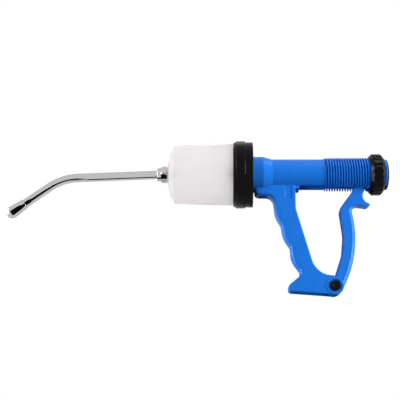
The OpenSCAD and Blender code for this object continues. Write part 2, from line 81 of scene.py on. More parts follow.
pivot = (np.array(joints["lever_pivot"]["pos_m"]) - datum) / MM
pivot_x, pivot_drop = pivot[0], -pivot[2]


def span(node):
    """Lowest and highest corner of a node, in millimetres from the datum."""
    low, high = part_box(node)
    return (np.array(low) - datum) / MM, (np.array(high) - datum) / MM


def placed(name, data):
    """A new object of the given data, linked to the scene."""
    thing = bpy.data.objects.new(name, data)
    bpy.context.scene.collection.objects.link(thing)
    return thing


print("datum", datum.round(4), "pivot", pivot.round(2))

# %% [markdown]
# ## Camera
# The photograph was taken from a little below the barrel's axis, close enough that the grip's
# bottom is seen at a flatter angle than the tube. The camera therefore stands at that real distance.
# Its image plane stays parallel to the barrel, apart from a small turn and shift for the framing.

# %% Camera
FRAME_PX = 400
FOCAL_PX = 680
SENSOR = 36.0
MM_PER_PX = 1.15
LOOK_UP = math.radians(19.0)
# The point of the barrel's axis that the camera faces squarely: its pixel, and its place along X.
FOOT_PX = (234.0, 174.9)
FOOT_X = -21.4
TURN_PX = 16.0
distance = FOCAL_PX * MM_PER_PX
outward = np.array([0.0, -math.cos(LOOK_UP), -math.sin(LOOK_UP)])
upward = np.array([0.0, -math.sin(LOOK_UP), math.cos(LOOK_UP)])
yaw = math.atan(TURN_PX / FOCAL_PX)
right = np.array([math.cos(yaw), 0.0, 0.0]) - math.sin(yaw) * outward
back = np.array([math.sin(yaw), 0.0, 0.0]) + math.cos(yaw) * outward
stand = datum + (np.array([FOOT_X, 0.0, 0.0]) + distance * outward) * MM

camera = placed("camera", bpy.data.cameras.new("camera"))
camera.data.sensor_width = SENSOR
camera.data.lens = FOCAL_PX / FRAME_PX * SENSOR
camera.data.shift_x = (FRAME_PX / 2 - FOOT_PX[0] + TURN_PX) / FRAME_PX
camera.data.shift_y = (FOOT_PX[1] - FRAME_PX / 2) / FRAME_PX
turn = Matrix([right.tolist(), upward.tolist(), back.tolist()]).transposed().to_4x4()
camera.matrix_world = Matrix.Translation(stand.tolist()) @ turn
bpy.context.scene.camera = camera
bpy.context.scene.view_settings.view_transform = "Standard"
print("camera at", stand.round(3), "lens", round(camera.data.lens, 1))

# %% [markdown]
# ## Outlines and grids
# Almost every piece here is a grid of points: one direction runs along a profile, the other round
# an axis, along a path or round an edge. A few helpers turn corners into smooth outlines, and grids
# into closed meshes. Modelling by hand would do the same, but a formula can be read and changed.

# %% Helpers for outlines
def unit(vector):
    """The vector with length one."""
    return vector / np.linalg.norm(vector)


def rounded(corners, closed=True, steps=8):
    """Outline through corners (u, v, radius): at a corner, an arc that touches the lines to both
    neighbours, drawn by turning one spoke of the arc evenly into the other."""
    table = np.array(corners, float)
    count = len(table)
    parts = []
    for i, (u, v, radius) in enumerate(table):
        here = np.array([u, v])
        if radius == 0 or (not closed and i in (0, count - 1)):
            parts.append(here[None])
            continue
        before = unit(table[i - 1, :2] - here)
        after = unit(table[(i + 1) % count, :2] - here)
        half = math.acos(np.clip(before @ after, -1, 1)) / 2
        centre = here + unit(before + after) * radius / math.sin(half)
        first = here + before * radius / math.tan(half) - centre
        last = here + after * radius / math.tan(half) - centre
        sweep = math.pi - 2 * half
        t = np.linspace(0, 1, steps + 1)[:, None]
        parts.append(centre + (np.sin((1 - t) * sweep) * first + np.sin(t * sweep) * last) / math.sin(sweep))
    return np.concatenate(parts)


def running(steps):
    """Running sum of steps, from zero on."""
    return np.concatenate([[0], np.cumsum(steps)])


def even(outline, step):
    """The same closed outline with its points about one step apart along its length."""
    loop = np.concatenate([outline, outline[:1]])
    length = running(np.linalg.norm(np.diff(loop, axis=0), axis=1))
    at = np.linspace(0, length[-1], round(length[-1] / step), endpoint=False)
    return np.stack([np.interp(at, length, loop[:, k]) for k in (0, 1)], 1)


def ease(value):
    """Smooth step: 0 below 0, 1 above 1, with level ends."""
    t = np.clip(value, 0, 1)
    return t * t * (3 - 2 * t)


sample = rounded([(0, 0, 1), (4, 0, 1), (4, 4, 1), (0, 4, 1)])
print("a rounded square takes", len(sample), "points, or", len(even(sample, 0.5)), "at even steps")

# %% Helpers for grids
WELD = 1e-6


def shell(name, grid, ring=False, capped=False):
    """A grid of points, in millimetres from the datum, becomes a closed mesh object. Columns always
    close; rows close for a ring. Without that, the end rows are welded poles or flat caps."""
    rows, columns = grid.shape[:2]
    i, j = np.meshgrid(np.arange(rows if ring else rows - 1), np.arange(columns), indexing="ij")
    below, beside = (i + 1) % rows, (j + 1) % columns
    corners = [i * columns + j, below * columns + j, below * columns + beside, i * columns + beside]
    faces = np.stack(corners, -1).reshape(-1, 4).tolist()
    if capped:
        faces += [list(range(columns)), list(range((rows - 1) * columns, rows * columns))]
    mesh = bpy.data.meshes.new(name)
    mesh.from_pydata((datum + grid.reshape(-1, 3) * MM).tolist(), [], faces)
    work = bmesh.new()
    work.from_mesh(mesh)
    bmesh.ops.remove_doubles(work, verts=work.verts, dist=WELD)
    bmesh.ops.recalc_face_normals(work, faces=work.faces)
    work.to_mesh(mesh)
    work.free()
    return placed(name, mesh)


def spun(profile, sides=128, axes=np.eye(3), origin=(0, 0, 0), shape=None):
    """Grid of a turned shape: the profile's point (x, r) goes to x along the first axis and to
    r cos a, r sin a along the other two. A shape function may change r with x and a."""
    a = np.linspace(0, 2 * np.pi, sides, endpoint=False)
    x, r = profile[:, :1], profile[:, 1:2]
    if shape:
        r = shape(x, r, a)
    local = np.stack([x + 0 * a, r * np.cos(a), r * np.sin(a)], -1)
    return local @ np.array(axes) + np.array(origin)


print("the square, turned about an axis, is a grid of", spun(sample).shape[:2], "points")

# %% Helpers for finished pieces
CREASE = math.radians(32)


def combine(piece, tools, operation):
    """Joins other closed shells to a piece, or cuts them out of it, and leaves one clean mesh."""
    for tool in tools:
        step = piece.modifiers.new(tool.name, "BOOLEAN")
        step.operation = operation
        step.solver = "MANIFOLD"
        step.object = tool
    bpy.context.view_layer.update()
    made = piece.evaluated_get(bpy.context.evaluated_depsgraph_get())
    mesh = bpy.data.meshes.new_from_object(made)
    piece.modifiers.clear()
    piece.data = mesh
    for tool in tools:
        bpy.data.objects.remove(tool)


def dress(piece, *nodes):
    """Smooths a finished piece, gives it the finish of its nodes and lets it stand for them."""
    piece.data.materials.clear()
    piece.data.materials.append(materials[slot_of[nodes[0]]])
    piece.data.shade_smooth()
    piece.data.set_sharp_from_angle(angle=CREASE)
    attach(piece, body_of[nodes[0]])
    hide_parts(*nodes)
    print(piece.name, "faces", len(piece.data.polygons))


print("edges over", round(math.degrees(CREASE)), "degrees stay sharp")

# %% [markdown]
# ## Materials
# The drencher is moulded plastic with a few metal pieces. Pictures of the surfaces could be wrapped
# round them, but noise on Object coordinates needs no file and no unwrapping, and its scale can be
# worked out from a real size in millimetres.

# %% Colours and nodes
def colour(code):
    """An sRGB hex colour as the linear values that the shaders take."""
    s = np.array([int(code[i:i + 2], 16) for i in (1, 3, 5)]) / 255
    linear = np.where(s <= 0.04045, s / 12.92, ((s + 0.055) / 1.055) ** 2.4)
    return (*linear.tolist(), 1.0)


def per_mm(size):
    """Noise scale that gives features about one size across, in millimetres."""
    return 1 / (size * MM)


def add(tree, kind, values=(), links=(), **settings):
    """Adds one node: settings are its own, values fill its inputs and links bring in other outputs."""
    node = tree.nodes.new(kind)
    for key, value in settings.items():
        setattr(node, key, value)
    for key, value in dict(values).items():
        node.inputs[key].default_value = value
    for key, source in dict(links).items():
        tree.links.new(source, node.inputs[key])
    return node


def fresh(name):
    """A node material that is empty but for its Object coordinates, with its tree and these."""
    material = bpy.data.materials.new(name)
    material.use_nodes = True
    tree = material.node_tree
    tree.nodes.clear()
    return material, tree, add(tree, "ShaderNodeTexCoord").outputs["Object"]


def finished(material, tree, height, strength, depth, values, links):
    """Ends a material: a pattern bumps the surface, as deep as given in millimetres, and the shader takes
    the values and links."""
    bump = add(tree, "ShaderNodeBump", {"Strength": strength, "Distance": depth * MM},
               {"Height": height.outputs["Fac"]})
    shader = add(tree, "ShaderNodeBsdfPrincipled", values, {**links, "Normal": bump.outputs["Normal"]})
    add(tree, "ShaderNodeOutputMaterial", (), {"Surface": shader.outputs["BSDF"]})
    return material


print("mid grey #808080 is", round(colour("#808080")[0], 3), "in linear values")

# %% [markdown]
# ## Moulded plastic
# The body and the lever are glass-filled nylon, the collar and the knob polypropylene. Both take a
# fine grain from the mould and shine softly. One flat colour would look like paint, so tone, gloss
# and grain each drift at a size of their own.

# %% Moulded plastic
DRIFT_MM = 14
TONE_ENDS = (0.3, 0.7)
GLOSS_DRIFT = (-0.04, 0.05)
GRAIN_BUMP = 0.35


def moulded(name, light, dark, rough, grain_mm, grain_depth, sheen):
    """Moulded plastic: two near tones drift slowly, the gloss drifts with them, and a fine mould grain
    breaks up the highlights and dulls the mirror part to the level of sheen."""
    material, tree, place = fresh(name)
    drift = add(tree, "ShaderNodeTexNoise", {"Scale": per_mm(DRIFT_MM), "Detail": 3.0}, {"Vector": place})
    ramp = add(tree, "ShaderNodeValToRGB", (), {"Fac": drift.outputs["Fac"]})
    for stop, at, tone in zip(ramp.color_ramp.elements, TONE_ENDS, (dark, light)):
        stop.position = at
        stop.color = colour(tone)
    gloss = add(tree, "ShaderNodeMapRange",
                {"To Min": rough + GLOSS_DRIFT[0], "To Max": rough + GLOSS_DRIFT[1]},
                {"Value": drift.outputs["Fac"]})
    grain = add(tree, "ShaderNodeTexNoise", {"Scale": per_mm(grain_mm), "Detail": 2.0}, {"Vector": place})
    return finished(material, tree, grain, GRAIN_BUMP, grain_depth, {"IOR": 1.5, "Specular IOR Level": sheen},
                    {"Base Color": ramp.outputs["Color"], "Roughness": gloss.outputs["Result"]})


print("tones drift over about", DRIFT_MM, "mm")

# %% [markdown]
# ## Worked metal
# The nozzle is plated and polished, the rod is turned and the spring is drawn. Each keeps faint tool
# lines. They could be cut into the mesh, but noise that is stretched along the piece costs nothing.

# %% Worked metal
LINE_STRETCH = 0.06
LINE_GLOSS = (0.7, 1.4)
LINE_BUMP = 0.2


def polished(name, code, rough, line_mm, depth):
    """Metal worked along its length: fine lines that run with X, drawn wider than real ones so that
    they show, change the gloss a little."""
    material, tree, place = fresh(name)
    along = add(tree, "ShaderNodeMapping", {"Scale": (LINE_STRETCH, 1.0, 1.0)}, {"Vector": place})
    lines = add(tree, "ShaderNodeTexNoise", {"Scale": per_mm(line_mm), "Detail": 2.0},
                {"Vector": along.outputs["Vector"]})
    gloss = add(tree, "ShaderNodeMapRange",
                {"To Min": rough * LINE_GLOSS[0], "To Max": rough * LINE_GLOSS[1]},
                {"Value": lines.outputs["Fac"]})
    return finished(material, tree, lines, LINE_BUMP, depth,
                    {"Base Color": colour(code), "Metallic": 1.0, "Specular Tint": colour("#c4c4c4")},
                    {"Roughness": gloss.outputs["Result"]})


print("tool lines are about", round(1 / LINE_STRETCH), "times as long as they are wide")

# %% [markdown]
# ## Milky plastic
# The barrel is natural polypropylene, which is cloudy and lets light through. The cloud could be
# traced as a volume. A rough, clear wall with a pale tint looks the same here and renders much faster.

# %% Milky plastic
CLOUD_MM = 22
PEEL_MM = 1.5
PEEL_BUMP, PEEL_DEPTH = 0.3, 0.01


def milky(name):
    """Natural polypropylene: white in itself, and it passes a blurred view of what is behind it. Its
    real IOR is 1.49. The lower one keeps the wall's edges pale, as the scattering in it does."""
    material, tree, place = fresh(name)
    cloud = add(tree, "ShaderNodeTexNoise", {"Scale": per_mm(CLOUD_MM), "Detail": 2.0}, {"Vector": place})
    ramp = add(tree, "ShaderNodeValToRGB", (), {"Fac": cloud.outputs["Fac"]})
    ramp.color_ramp.elements[0].color = colour("#f2eff1")
    ramp.color_ramp.elements[1].color = colour("#f8f6f7")
    grain = add(tree, "ShaderNodeTexNoise", {"Scale": per_mm(PEEL_MM), "Detail": 2.0}, {"Vector": place})
    return finished(material, tree, grain, PEEL_BUMP, PEEL_DEPTH,
                    {"Roughness": 0.56, "IOR": 1.24, "Transmission Weight": 0.95},
                    {"Base Color": ramp.outputs["Color"]})


print("clouds in the barrel's wall are about", CLOUD_MM, "mm across")

# %% The drencher's finishes
# Plastics: light and dark tone, roughness, grain size and depth in mm, sheen.
# Metals: colour, roughness, width and depth of the tool lines in mm.
materials = {
    # A clear blue with a fine grain and a soft gloss.
    "blue_plastic": moulded("blue_moulded_nylon", "#1b75da", "#196fd4", 0.32, 0.7, 0.012, 0.1),
    # Near black from a smooth mould, with narrow highlights.
    "black_plastic": moulded("black_moulded_polypropylene", "#060608", "#040405", 0.24, 0.6, 0.015, 0.08),
    # Dark grey and satin.
    "dark_plastic": moulded("dark_acetal", "#3a3b3e", "#333437", 0.4, 0.8, 0.015, 0.4),
    # Cream, waxy and dull.
    "nylon": moulded("natural_nylon", "#e2dccb", "#dad3bf", 0.45, 0.8, 0.015, 0.4),
    # Black and matt, almost without highlights.
    "rubber": moulded("nitrile_rubber", "#1c1c1c", "#171717", 0.62, 0.5, 0.02, 0.3),
    # White and cloudy: the piston shows through it as a shade.
    "milky_plastic": milky("natural_polypropylene"),
    # Pale grey, with turning lines that blur what it mirrors.
    "stainless": polished("turned_stainless", "#c9c9cb", 0.24, 0.25, 0.004),
    # A little darker and rougher, from the drawing die.
    "spring_wire": polished("drawn_spring_wire", "#b9babd", 0.3, 0.3, 0.004),
    # A mirror for the white room and the dark cards.
    "plated_metal": polished("polished_plating", "#bfbebd", 0.07, 0.4, 0.0002),
}
for node, part in frame["nodes"].items():
    part.data.materials.clear()
    part.data.materials.append(materials[slot_of[node]])
print("materials", sorted(materials))

# %% [markdown]
# ## Barrel
# The barrel is a plain turned form with one moulded boss on its cone, left by the mould's gate. It
# is one closed wall, outside and inside, because light passes through it: a single sheet would bend
# the light wrongly. The profile runs round the wall once, as corners (x, r, radius of the corner).

# %% Barrel
barrel_low, barrel_high = span("barrel")
SPIGOT_R = 6.8
SPIGOT_LEN = 5.6
CONE_LEN = 8.1
CONE_WALL = 1.8
CONE_FRONT_R = 12.6
FRONT_R = 33.6
REAR_R = barrel_high[2]
BAND_R = 34.4
BORE_R = 31.5
OUTLET_R = 3.0
BAND_X = -20.38
KNEE_ALONG = 0.31
KNEE_OUT = 0.5
spigot_x = barrel_low[0]
rim_x = barrel_high[0]
cone_x = spigot_x + SPIGOT_LEN
shoulder_x = cone_x + CONE_LEN
bore_end_x = shoulder_x + CONE_WALL
inner_x, inner_r = cone_x + CONE_WALL, CONE_FRONT_R - CONE_WALL


def knee(x0, r0, x1, r1):
    """Point where the cone bends: a fixed share of the way along it, and another of the way out."""
    return x0 + (x1 - x0) * KNEE_ALONG, r0 + (r1 - r0) * KNEE_OUT


wall_profile = rounded([
    (spigot_x, OUTLET_R, 0.3), (spigot_x, SPIGOT_R, 0.4), (cone_x, SPIGOT_R, 0.5),
    (cone_x, CONE_FRONT_R, 1.2), (*knee(cone_x, CONE_FRONT_R, shoulder_x, FRONT_R), 6.0),
    (shoulder_x, FRONT_R, 3.0), (BAND_X, REAR_R, 0.2),
    (BAND_X, BAND_R, 0.2), (rim_x, BAND_R, 0.3), (rim_x, BORE_R, 0.5), (bore_end_x, BORE_R, 1.5),
    (*knee(inner_x, inner_r, bore_end_x, BORE_R), 3.0), (inner_x, inner_r, 1.0), (inner_x, OUTLET_R, 0.4)])
barrel = shell("barrel_wall", spun(wall_profile, 160), ring=True)
GATE_R = 4.5
GATE_AT = 0.55
GATE_RISE = 2.6
gate_x = cone_x + CONE_LEN * GATE_AT - GATE_RISE
gate_z = CONE_FRONT_R + (FRONT_R - CONE_FRONT_R) * GATE_AT - GATE_R
gate = rounded([(gate_x, 0, 0), (gate_x, GATE_R, 0.7), (bore_end_x, GATE_R, 0), (bore_end_x, 0, 0)],
               closed=False)
combine(barrel, [shell("gate_boss", spun(gate, 48, origin=(0, 0, gate_z)))], "UNION")
dress(barrel, "barrel")

# %% [markdown]
# ## Collar
# The collar is a ring nut with four raised pads for the fingers. Blocks could be joined to a ring, but
# a grid over length and angle gives the pads soft sides as well: the radius is the plain ring's, plus
# a pad height that eases in and out along both directions.

# %% Collar
collar_low, collar_high = span("collar")
collar_x = collar_low[0]
PAD_RISE = 1.2
PAD_X = (-19.3, -8.9)
PAD_ARC = 57.0
PAD_STEP = 90.0
PAD_PHASE = -11.5
PAD_EDGE = 0.7
COLLAR_R = collar_high[2] - PAD_RISE
MOUTH_R = 35.5
LIP_R = 21.0
LIP_X = -2.9
SEAT_R = 34.46
SEAT_X = -20.28
FLAT_END = -1.4
FLAT_START = collar_x + 2.8
RIM_X, RIM_R = 2.0, 1.0
COLLAR_ROWS = 60
COLLAR_SIDES = 360


def off_centre(a, step, phase=0.0):
    """Distance in degrees from an angle to the nearest of evenly spaced centres."""
    return np.abs((np.degrees(a) - phase + step / 2) % step - step / 2)


def padded_ring(x, r, a):
    """Ring radius plus pads: the rise eases from 0 to 1 over one edge width, along x and round a."""
    edge = np.degrees(PAD_EDGE / COLLAR_R)
    along = ease((x - PAD_X[0]) / PAD_EDGE + 0.5) * ease((PAD_X[1] - x) / PAD_EDGE + 0.5)
    round_it = ease((PAD_ARC / 2 - off_centre(a, PAD_STEP, PAD_PHASE)) / edge + 0.5)
    return r + PAD_RISE * along * round_it * (r > COLLAR_R - WELD)


inside = rounded([(FLAT_END, COLLAR_R, 0), (0, COLLAR_R, 0.9), (0, LIP_R, 0.4), (LIP_X, LIP_R, 0.2),
                  (LIP_X, SEAT_R, 0.2), (SEAT_X, SEAT_R, 0.2), (SEAT_X, MOUTH_R, 0.2),
                  (collar_x, MOUTH_R, 0.2), (collar_x, COLLAR_R - RIM_R, 0.5),
                  (collar_x + RIM_X, COLLAR_R, 1.2), (FLAT_START, COLLAR_R, 0)], closed=False)
outside = np.linspace(inside[-1], inside[0], COLLAR_ROWS)[1:-1]
collar_line = np.concatenate([inside, outside])
collar = shell("collar_ring", spun(collar_line, COLLAR_SIDES, shape=padded_ring), ring=True)
dress(collar, "collar")

# %% [markdown]
# ## Plates with rolled edges
# The grip and the lever are flat mouldings whose edges are rolled over. A plate starts as an outline
# with rounded corners. A Bevel would give one radius all round. Here each ring of the edge is the
# outline moved in, and down from the face, along a quarter circle, and the radius may differ along
# the outline: the finger side is rounder.

# %% Helpers for outlines of plates
def inward_of(outline):
    """Unit vectors into a closed outline, square to the line through each point's neighbours."""
    ahead = np.roll(outline, -1, 0) - np.roll(outline, 1, 0)
    ahead /= np.linalg.norm(ahead, axis=1, keepdims=True)
    following = np.roll(outline, -1, 0)
    area = np.sum(outline[:, 0] * following[:, 1] - following[:, 0] * outline[:, 1])
    return np.stack([-ahead[:, 1], ahead[:, 0]], 1) * np.sign(area)


def soften(values, reach):
    """Running mean of values round a closed outline, over twice the reach."""
    wide = np.concatenate([values[-reach:], values, values[:reach]])
    return np.convolve(wide, np.ones(2 * reach + 1) / (2 * reach + 1), "valid")


def bend_of(outline):
    """Signed bend of a closed outline: the turn at each point, in radians, over the length of the step.
    It is positive where the outline bulges."""
    ahead = np.roll(outline, -1, 0) - outline
    behind = np.roll(ahead, 1, 0)
    turn = np.arctan2(np.cross(behind, ahead), np.sum(behind * ahead, 1))
    return turn * np.sign(np.sum(turn)) / np.linalg.norm(ahead, axis=1)


print("a rounded square bends by up to", round(float(bend_of(even(sample, 0.5)).max()), 2), "radians per mm")

# %% Helpers for rolled plates, bars and blocks
EDGE_STEPS = 7
LAND = 0.4
ROOM_SHARE = 0.8
LEAST_BEND = 0.02
LEAST_EDGE = 0.05
NEIGHBOURS = 6
BLUR = 4
ACROSS = np.array([[0, 1, 0], [0, 0, 1], [1, 0, 0]])


def rolled_plate(name, outline, half, radius, flat=0.0):
    """Plate of an (x, z) outline: at angle a of the edge the outline moves in by r (1 - sin a), and
    its height is half - r (1 - cos a). The share called flat turns the quarter circle into a straight
    bevel. A narrow flat land joins the edge to the face. Near a tight corner r shrinks to what the
    corner's own radius leaves room for."""
    room = ROOM_SHARE / np.maximum(bend_of(outline), LEAST_BEND) - LAND
    r = np.minimum(np.broadcast_to(radius, len(outline)), np.maximum(room, LEAST_EDGE))
    r = soften(np.min([np.roll(r, k) for k in range(-NEIGHBOURS, NEIGHBOURS + 1)], axis=0), BLUR)
    a = np.linspace(0, np.pi / 2, EDGE_STEPS)[:, None]
    t = np.linspace(0, 1, EDGE_STEPS)[:, None]
    outer = flat * t + (1 - flat) * np.sin(a)
    upper = flat * (1 - t) + (1 - flat) * np.cos(a)
    inset = np.concatenate([r[None] + LAND, r * (1 - outer)])
    height = np.concatenate([half + 0 * r[None], half - r * (1 - upper)])
    moved = outline[None] + inward_of(outline)[None] * inset[..., None]
    near = np.stack([moved[..., 0], -height, moved[..., 1]], -1)
    far = near[::-1] * np.array([1, -1, 1])
    return shell(name, np.concatenate([near, far]), capped=True)


def across(radius, half, edge, at, name, sides=72):
    """Round bar along Y through the point at = (x, z), from -half to half, with rolled edges."""
    line = rounded([(-half, 0, 0), (-half, radius, edge), (half, radius, edge), (half, 0, 0)], closed=False)
    return shell(name, spun(line, sides, ACROSS, (at[0], 0, at[1])))


def block(name, low, high):
    """Plain box between two corners, for cuts."""
    x, z = (low[0], high[0]), (low[2], high[2])
    loop = np.array([(x[0], z[0]), (x[1], z[0]), (x[1], z[1]), (x[0], z[1])])
    rows = [np.stack([loop[:, 0], np.full(4, y), loop[:, 1]], 1) for y in (low[1], high[1])]
    return shell(name, np.array(rows), capped=True)


print("a rolled edge has", EDGE_STEPS, "rings and a land of", LAND, "mm")

# %% [markdown]
# ## Body
# The body is one blue moulding: a flange inside the collar, a neck, a tube with a coarse thread, and
# the finger grip. The thread could be a wire wound round the tube, which leaves a seam. Here it is the
# tube's own radius, which depends on x and on the angle, so that one turn moves it on by a pitch. The
# slot, the bores and the fork for the lever are cut out afterwards.

# %% Body tube with its thread
body_low, body_high = span("body")
FLANGE_R = body_high[1]
FLANGE_X = (body_low[0], -3.0)
NECK_R = 20.7
NECK_END = 11.9
TUBE_R = 17.75
TAPER_END = 22.3
THREAD_X = 81.4
THREAD_END = 148.2
THREAD_PITCH = 3.0
THREAD_RISE = 1.5
THREAD_ROOT = 1.1
CREST_SHARE = 0.4
FLANK_SHARE = 0.14
THREAD_STEPS = 30
TUBE_SIDES = 96
END_LAND = 1
tube_end = body_high[0]
land_x = tube_end - END_LAND


def threaded(x, r, a):
    """Tube radius plus the thread: a tooth with rounded corners that repeats each pitch and moves on
    with a, from a root a little under the tube's surface."""
    phase = (x - THREAD_X) / THREAD_PITCH - a / (2 * np.pi)
    from_crest = np.abs(phase % 1 - 0.5)
    tooth = ease((CREST_SHARE / 2 + FLANK_SHARE - from_crest) / FLANK_SHARE)
    run_in = ease((x - THREAD_X) / THREAD_PITCH + 0.5) * ease((THREAD_END - x) / THREAD_PITCH + 0.5)
    height = (THREAD_RISE + THREAD_ROOT) * tooth - THREAD_ROOT
    return r + height * run_in * (x > THREAD_X - THREAD_PITCH) * (r > TUBE_R - WELD)


front_line = rounded([(FLANGE_X[0], 0, 0), (FLANGE_X[0], FLANGE_R, 0.4), (FLANGE_X[1], FLANGE_R, 0.4),
                      (FLANGE_X[1], NECK_R, 0.3), (NECK_END, NECK_R, 1.6), (TAPER_END, TUBE_R, 1.0),
                      (THREAD_X - THREAD_PITCH, TUBE_R, 0)], closed=False)
steps = round((land_x - front_line[-1, 0]) / THREAD_PITCH * THREAD_STEPS)
thread_line = np.linspace(front_line[-1], (land_x, TUBE_R), steps)[1:]
end_line = rounded([(land_x, TUBE_R, 0), (tube_end, TUBE_R, 0.5), (tube_end, 0, 0)], closed=False)[1:]
tube_grid = spun(np.concatenate([front_line, thread_line, end_line]), TUBE_SIDES, shape=threaded)
body = shell("body_moulding", tube_grid)
print("thread turns", round((THREAD_END - THREAD_X) / THREAD_PITCH, 1))

# %% [markdown]
# ## Finger grip
# The grip hangs from the neck in a web and swings back to the pivot in four finger grooves. Its
# corners are shares of the pivot's place (x, z, radius of the corner), so that the grip and the pivot
# stay together. The edge is rolled widely on the finger side, and most inside the grooves.

# %% Finger grip
GRIP_HALF = 9.5
BOSS_R = 9.5
BOSS_RISE = 0.8
WEB_DEPTH = 26.6
WEB_GAP = 1.6
WEB_CORNER = 5.0
GRIP_BACK_X = 47.8
GRIP_TOP = -8.75
FINGER_SHARES = [(0.281, 0.385, 0.2), (0.358, 0.478, 0.03), (0.375, 0.576, 0.2), (0.467, 0.672, 0.03),
                 (0.47, 0.778, 0.18), (0.606, 0.9, 0.05), (0.432, 0.997, 0.024), (0.432, 1.048, 0.024)]
WEB_SHARES = (0.254, 0.07)
HEEL_SHARES = (0.785, 0.178)
BACK_SHARES = (0.335, 0.06)
HEEL_LIFT = 1.5
BACK_EDGE = 1.4
FINGER_EDGE = 3.2
GROOVE_EDGE = 1.8
WEB_EDGE = 3.6
FINGER_Z = -120.0
WEB_UNDER = -WEB_DEPTH * 1.4
FACING = 0.25
GRIP_STEP = 0.9
GRIP_BLUR = 6
heel_z = -pivot_drop + BOSS_R + HEEL_LIFT
grip_corners = [(WEB_GAP, GRIP_TOP, 0), (WEB_GAP, -WEB_DEPTH, WEB_CORNER),
                (pivot_x * WEB_SHARES[0], -WEB_DEPTH, pivot_drop * WEB_SHARES[1])]
grip_corners += [(pivot_x * x, -pivot_drop * z, pivot_drop * r) for x, z, r in FINGER_SHARES]
grip_corners += [(pivot_x, -pivot_drop - BOSS_R, 0), (pivot_x, heel_z, 0),
                 (pivot_x * HEEL_SHARES[0], heel_z, pivot_drop * HEEL_SHARES[1]),
                 (GRIP_BACK_X, -pivot_drop * BACK_SHARES[0], pivot_drop * BACK_SHARES[1]),
                 (GRIP_BACK_X, GRIP_TOP, 0)]
grip_line = even(rounded(grip_corners), GRIP_STEP)
finger_side = (inward_of(grip_line)[:, 0] > FACING) & (grip_line[:, 1] > FINGER_Z)
under_web = (inward_of(grip_line)[:, 1] > FACING) & (grip_line[:, 1] > WEB_UNDER)
hollow = bend_of(grip_line) < 0
edge = BACK_EDGE + finger_side * (FINGER_EDGE + GROOVE_EDGE * hollow)
edge = np.where(under_web, WEB_EDGE, edge)
grip = rolled_plate("finger_grip", grip_line, GRIP_HALF, soften(edge, GRIP_BLUR))
print("grip edge from", round(float(edge.min()), 2), "to", round(float(edge.max()), 2), "mm")

# %% Body joined and cut
GUSSET_X = 52.3
GUSSET_ROOT = 5
GUSSET_DROP = 1.2
SLOT_HALF = 8.6
BUSH_BORE_R = 9.02
TUBE_BORE_R = 13.0
# Places well clear of the body, where cuts start and end.
FRONT_OUT, REAR_OUT, SIDE_OUT, BELOW_OUT = -20, 170, 20, -30
FORK_ROOM = 3.5
HEAD_ROOM = 1.5
FIT = 0.02
HUB_R = 9.5
FORK_HALF = 6.1
PIN_R = 4.0
HEAD_R = 5.7
RECESS = 1.6
PANEL = ((pivot_x * 0.415, pivot_x * 0.495), (-pivot_drop * 0.235, -pivot_drop * 0.125))
PANEL_DEPTH = 0.6
PANEL_SLOPE = 0.65
face = GRIP_HALF + BOSS_RISE
at_pivot = (pivot_x, -pivot_drop)


def tray(name, side):
    """Cutter for a shallow panel: its outline grows by the slope's width over its depth."""
    (x0, x1), (z0, z1) = PANEL
    grow = np.array([0, PANEL_SLOPE, 2 * PANEL_SLOPE])[:, None]
    depth = np.array([-PANEL_DEPTH, 0, PANEL_DEPTH])[:, None]
    x = np.array([x0, x1, x1, x0]) + grow * np.array([-1, 1, 1, -1])
    z = np.array([z0, z0, z1, z1]) + grow * np.array([-1, -1, 1, 1])
    return shell(name, np.stack([x, side * (GRIP_HALF + depth) + 0 * x, z], -1), capped=True)


boss = across(BOSS_R, face, 0.7, at_pivot, "pivot_boss", 96)
gusset = block("gusset", (GRIP_BACK_X - GUSSET_ROOT, -SLOT_HALF, -TUBE_R - GUSSET_DROP),
               (GUSSET_X, SLOT_HALF, -TUBE_BORE_R))
combine(body, [grip, boss, gusset], "UNION")
bore_line = np.array([(FRONT_OUT, 0), (FRONT_OUT, BUSH_BORE_R), (NECK_END, BUSH_BORE_R),
                      (NECK_END, TUBE_BORE_R), (REAR_OUT, TUBE_BORE_R), (REAR_OUT, 0)])
cuts = [shell("bore", spun(bore_line, TUBE_SIDES)),
        block("slot", (GUSSET_X, -SLOT_HALF, BELOW_OUT), (REAR_OUT, SLOT_HALF, 0)),
        across(HUB_R + FORK_ROOM, FORK_HALF, 0, at_pivot, "fork_gap", 96),
        across(PIN_R + FIT, SIDE_OUT, 0, at_pivot, "pin_hole")]
for side in (-1, 1):
    recess = across(HEAD_R + HEAD_ROOM, RECESS, 0.3, at_pivot, "head_recess", 96)
    recess.data.transform(Matrix.Translation((0, side * face * MM, 0)))
    cuts += [recess, tray("side_panel", side)]
combine(body, cuts, "DIFFERENCE")
dress(body, "body")

# %% [markdown]
# ## Lever
# The palm lever is a second rolled plate. It bends round the palm, carries a spur that keeps the hand
# from slipping up, and ends in a fork inside the tube that pushes the plunger's cross pin. Its palm
# side has a wide bevel, so the edge here is nearer to a straight slope than to a quarter circle.

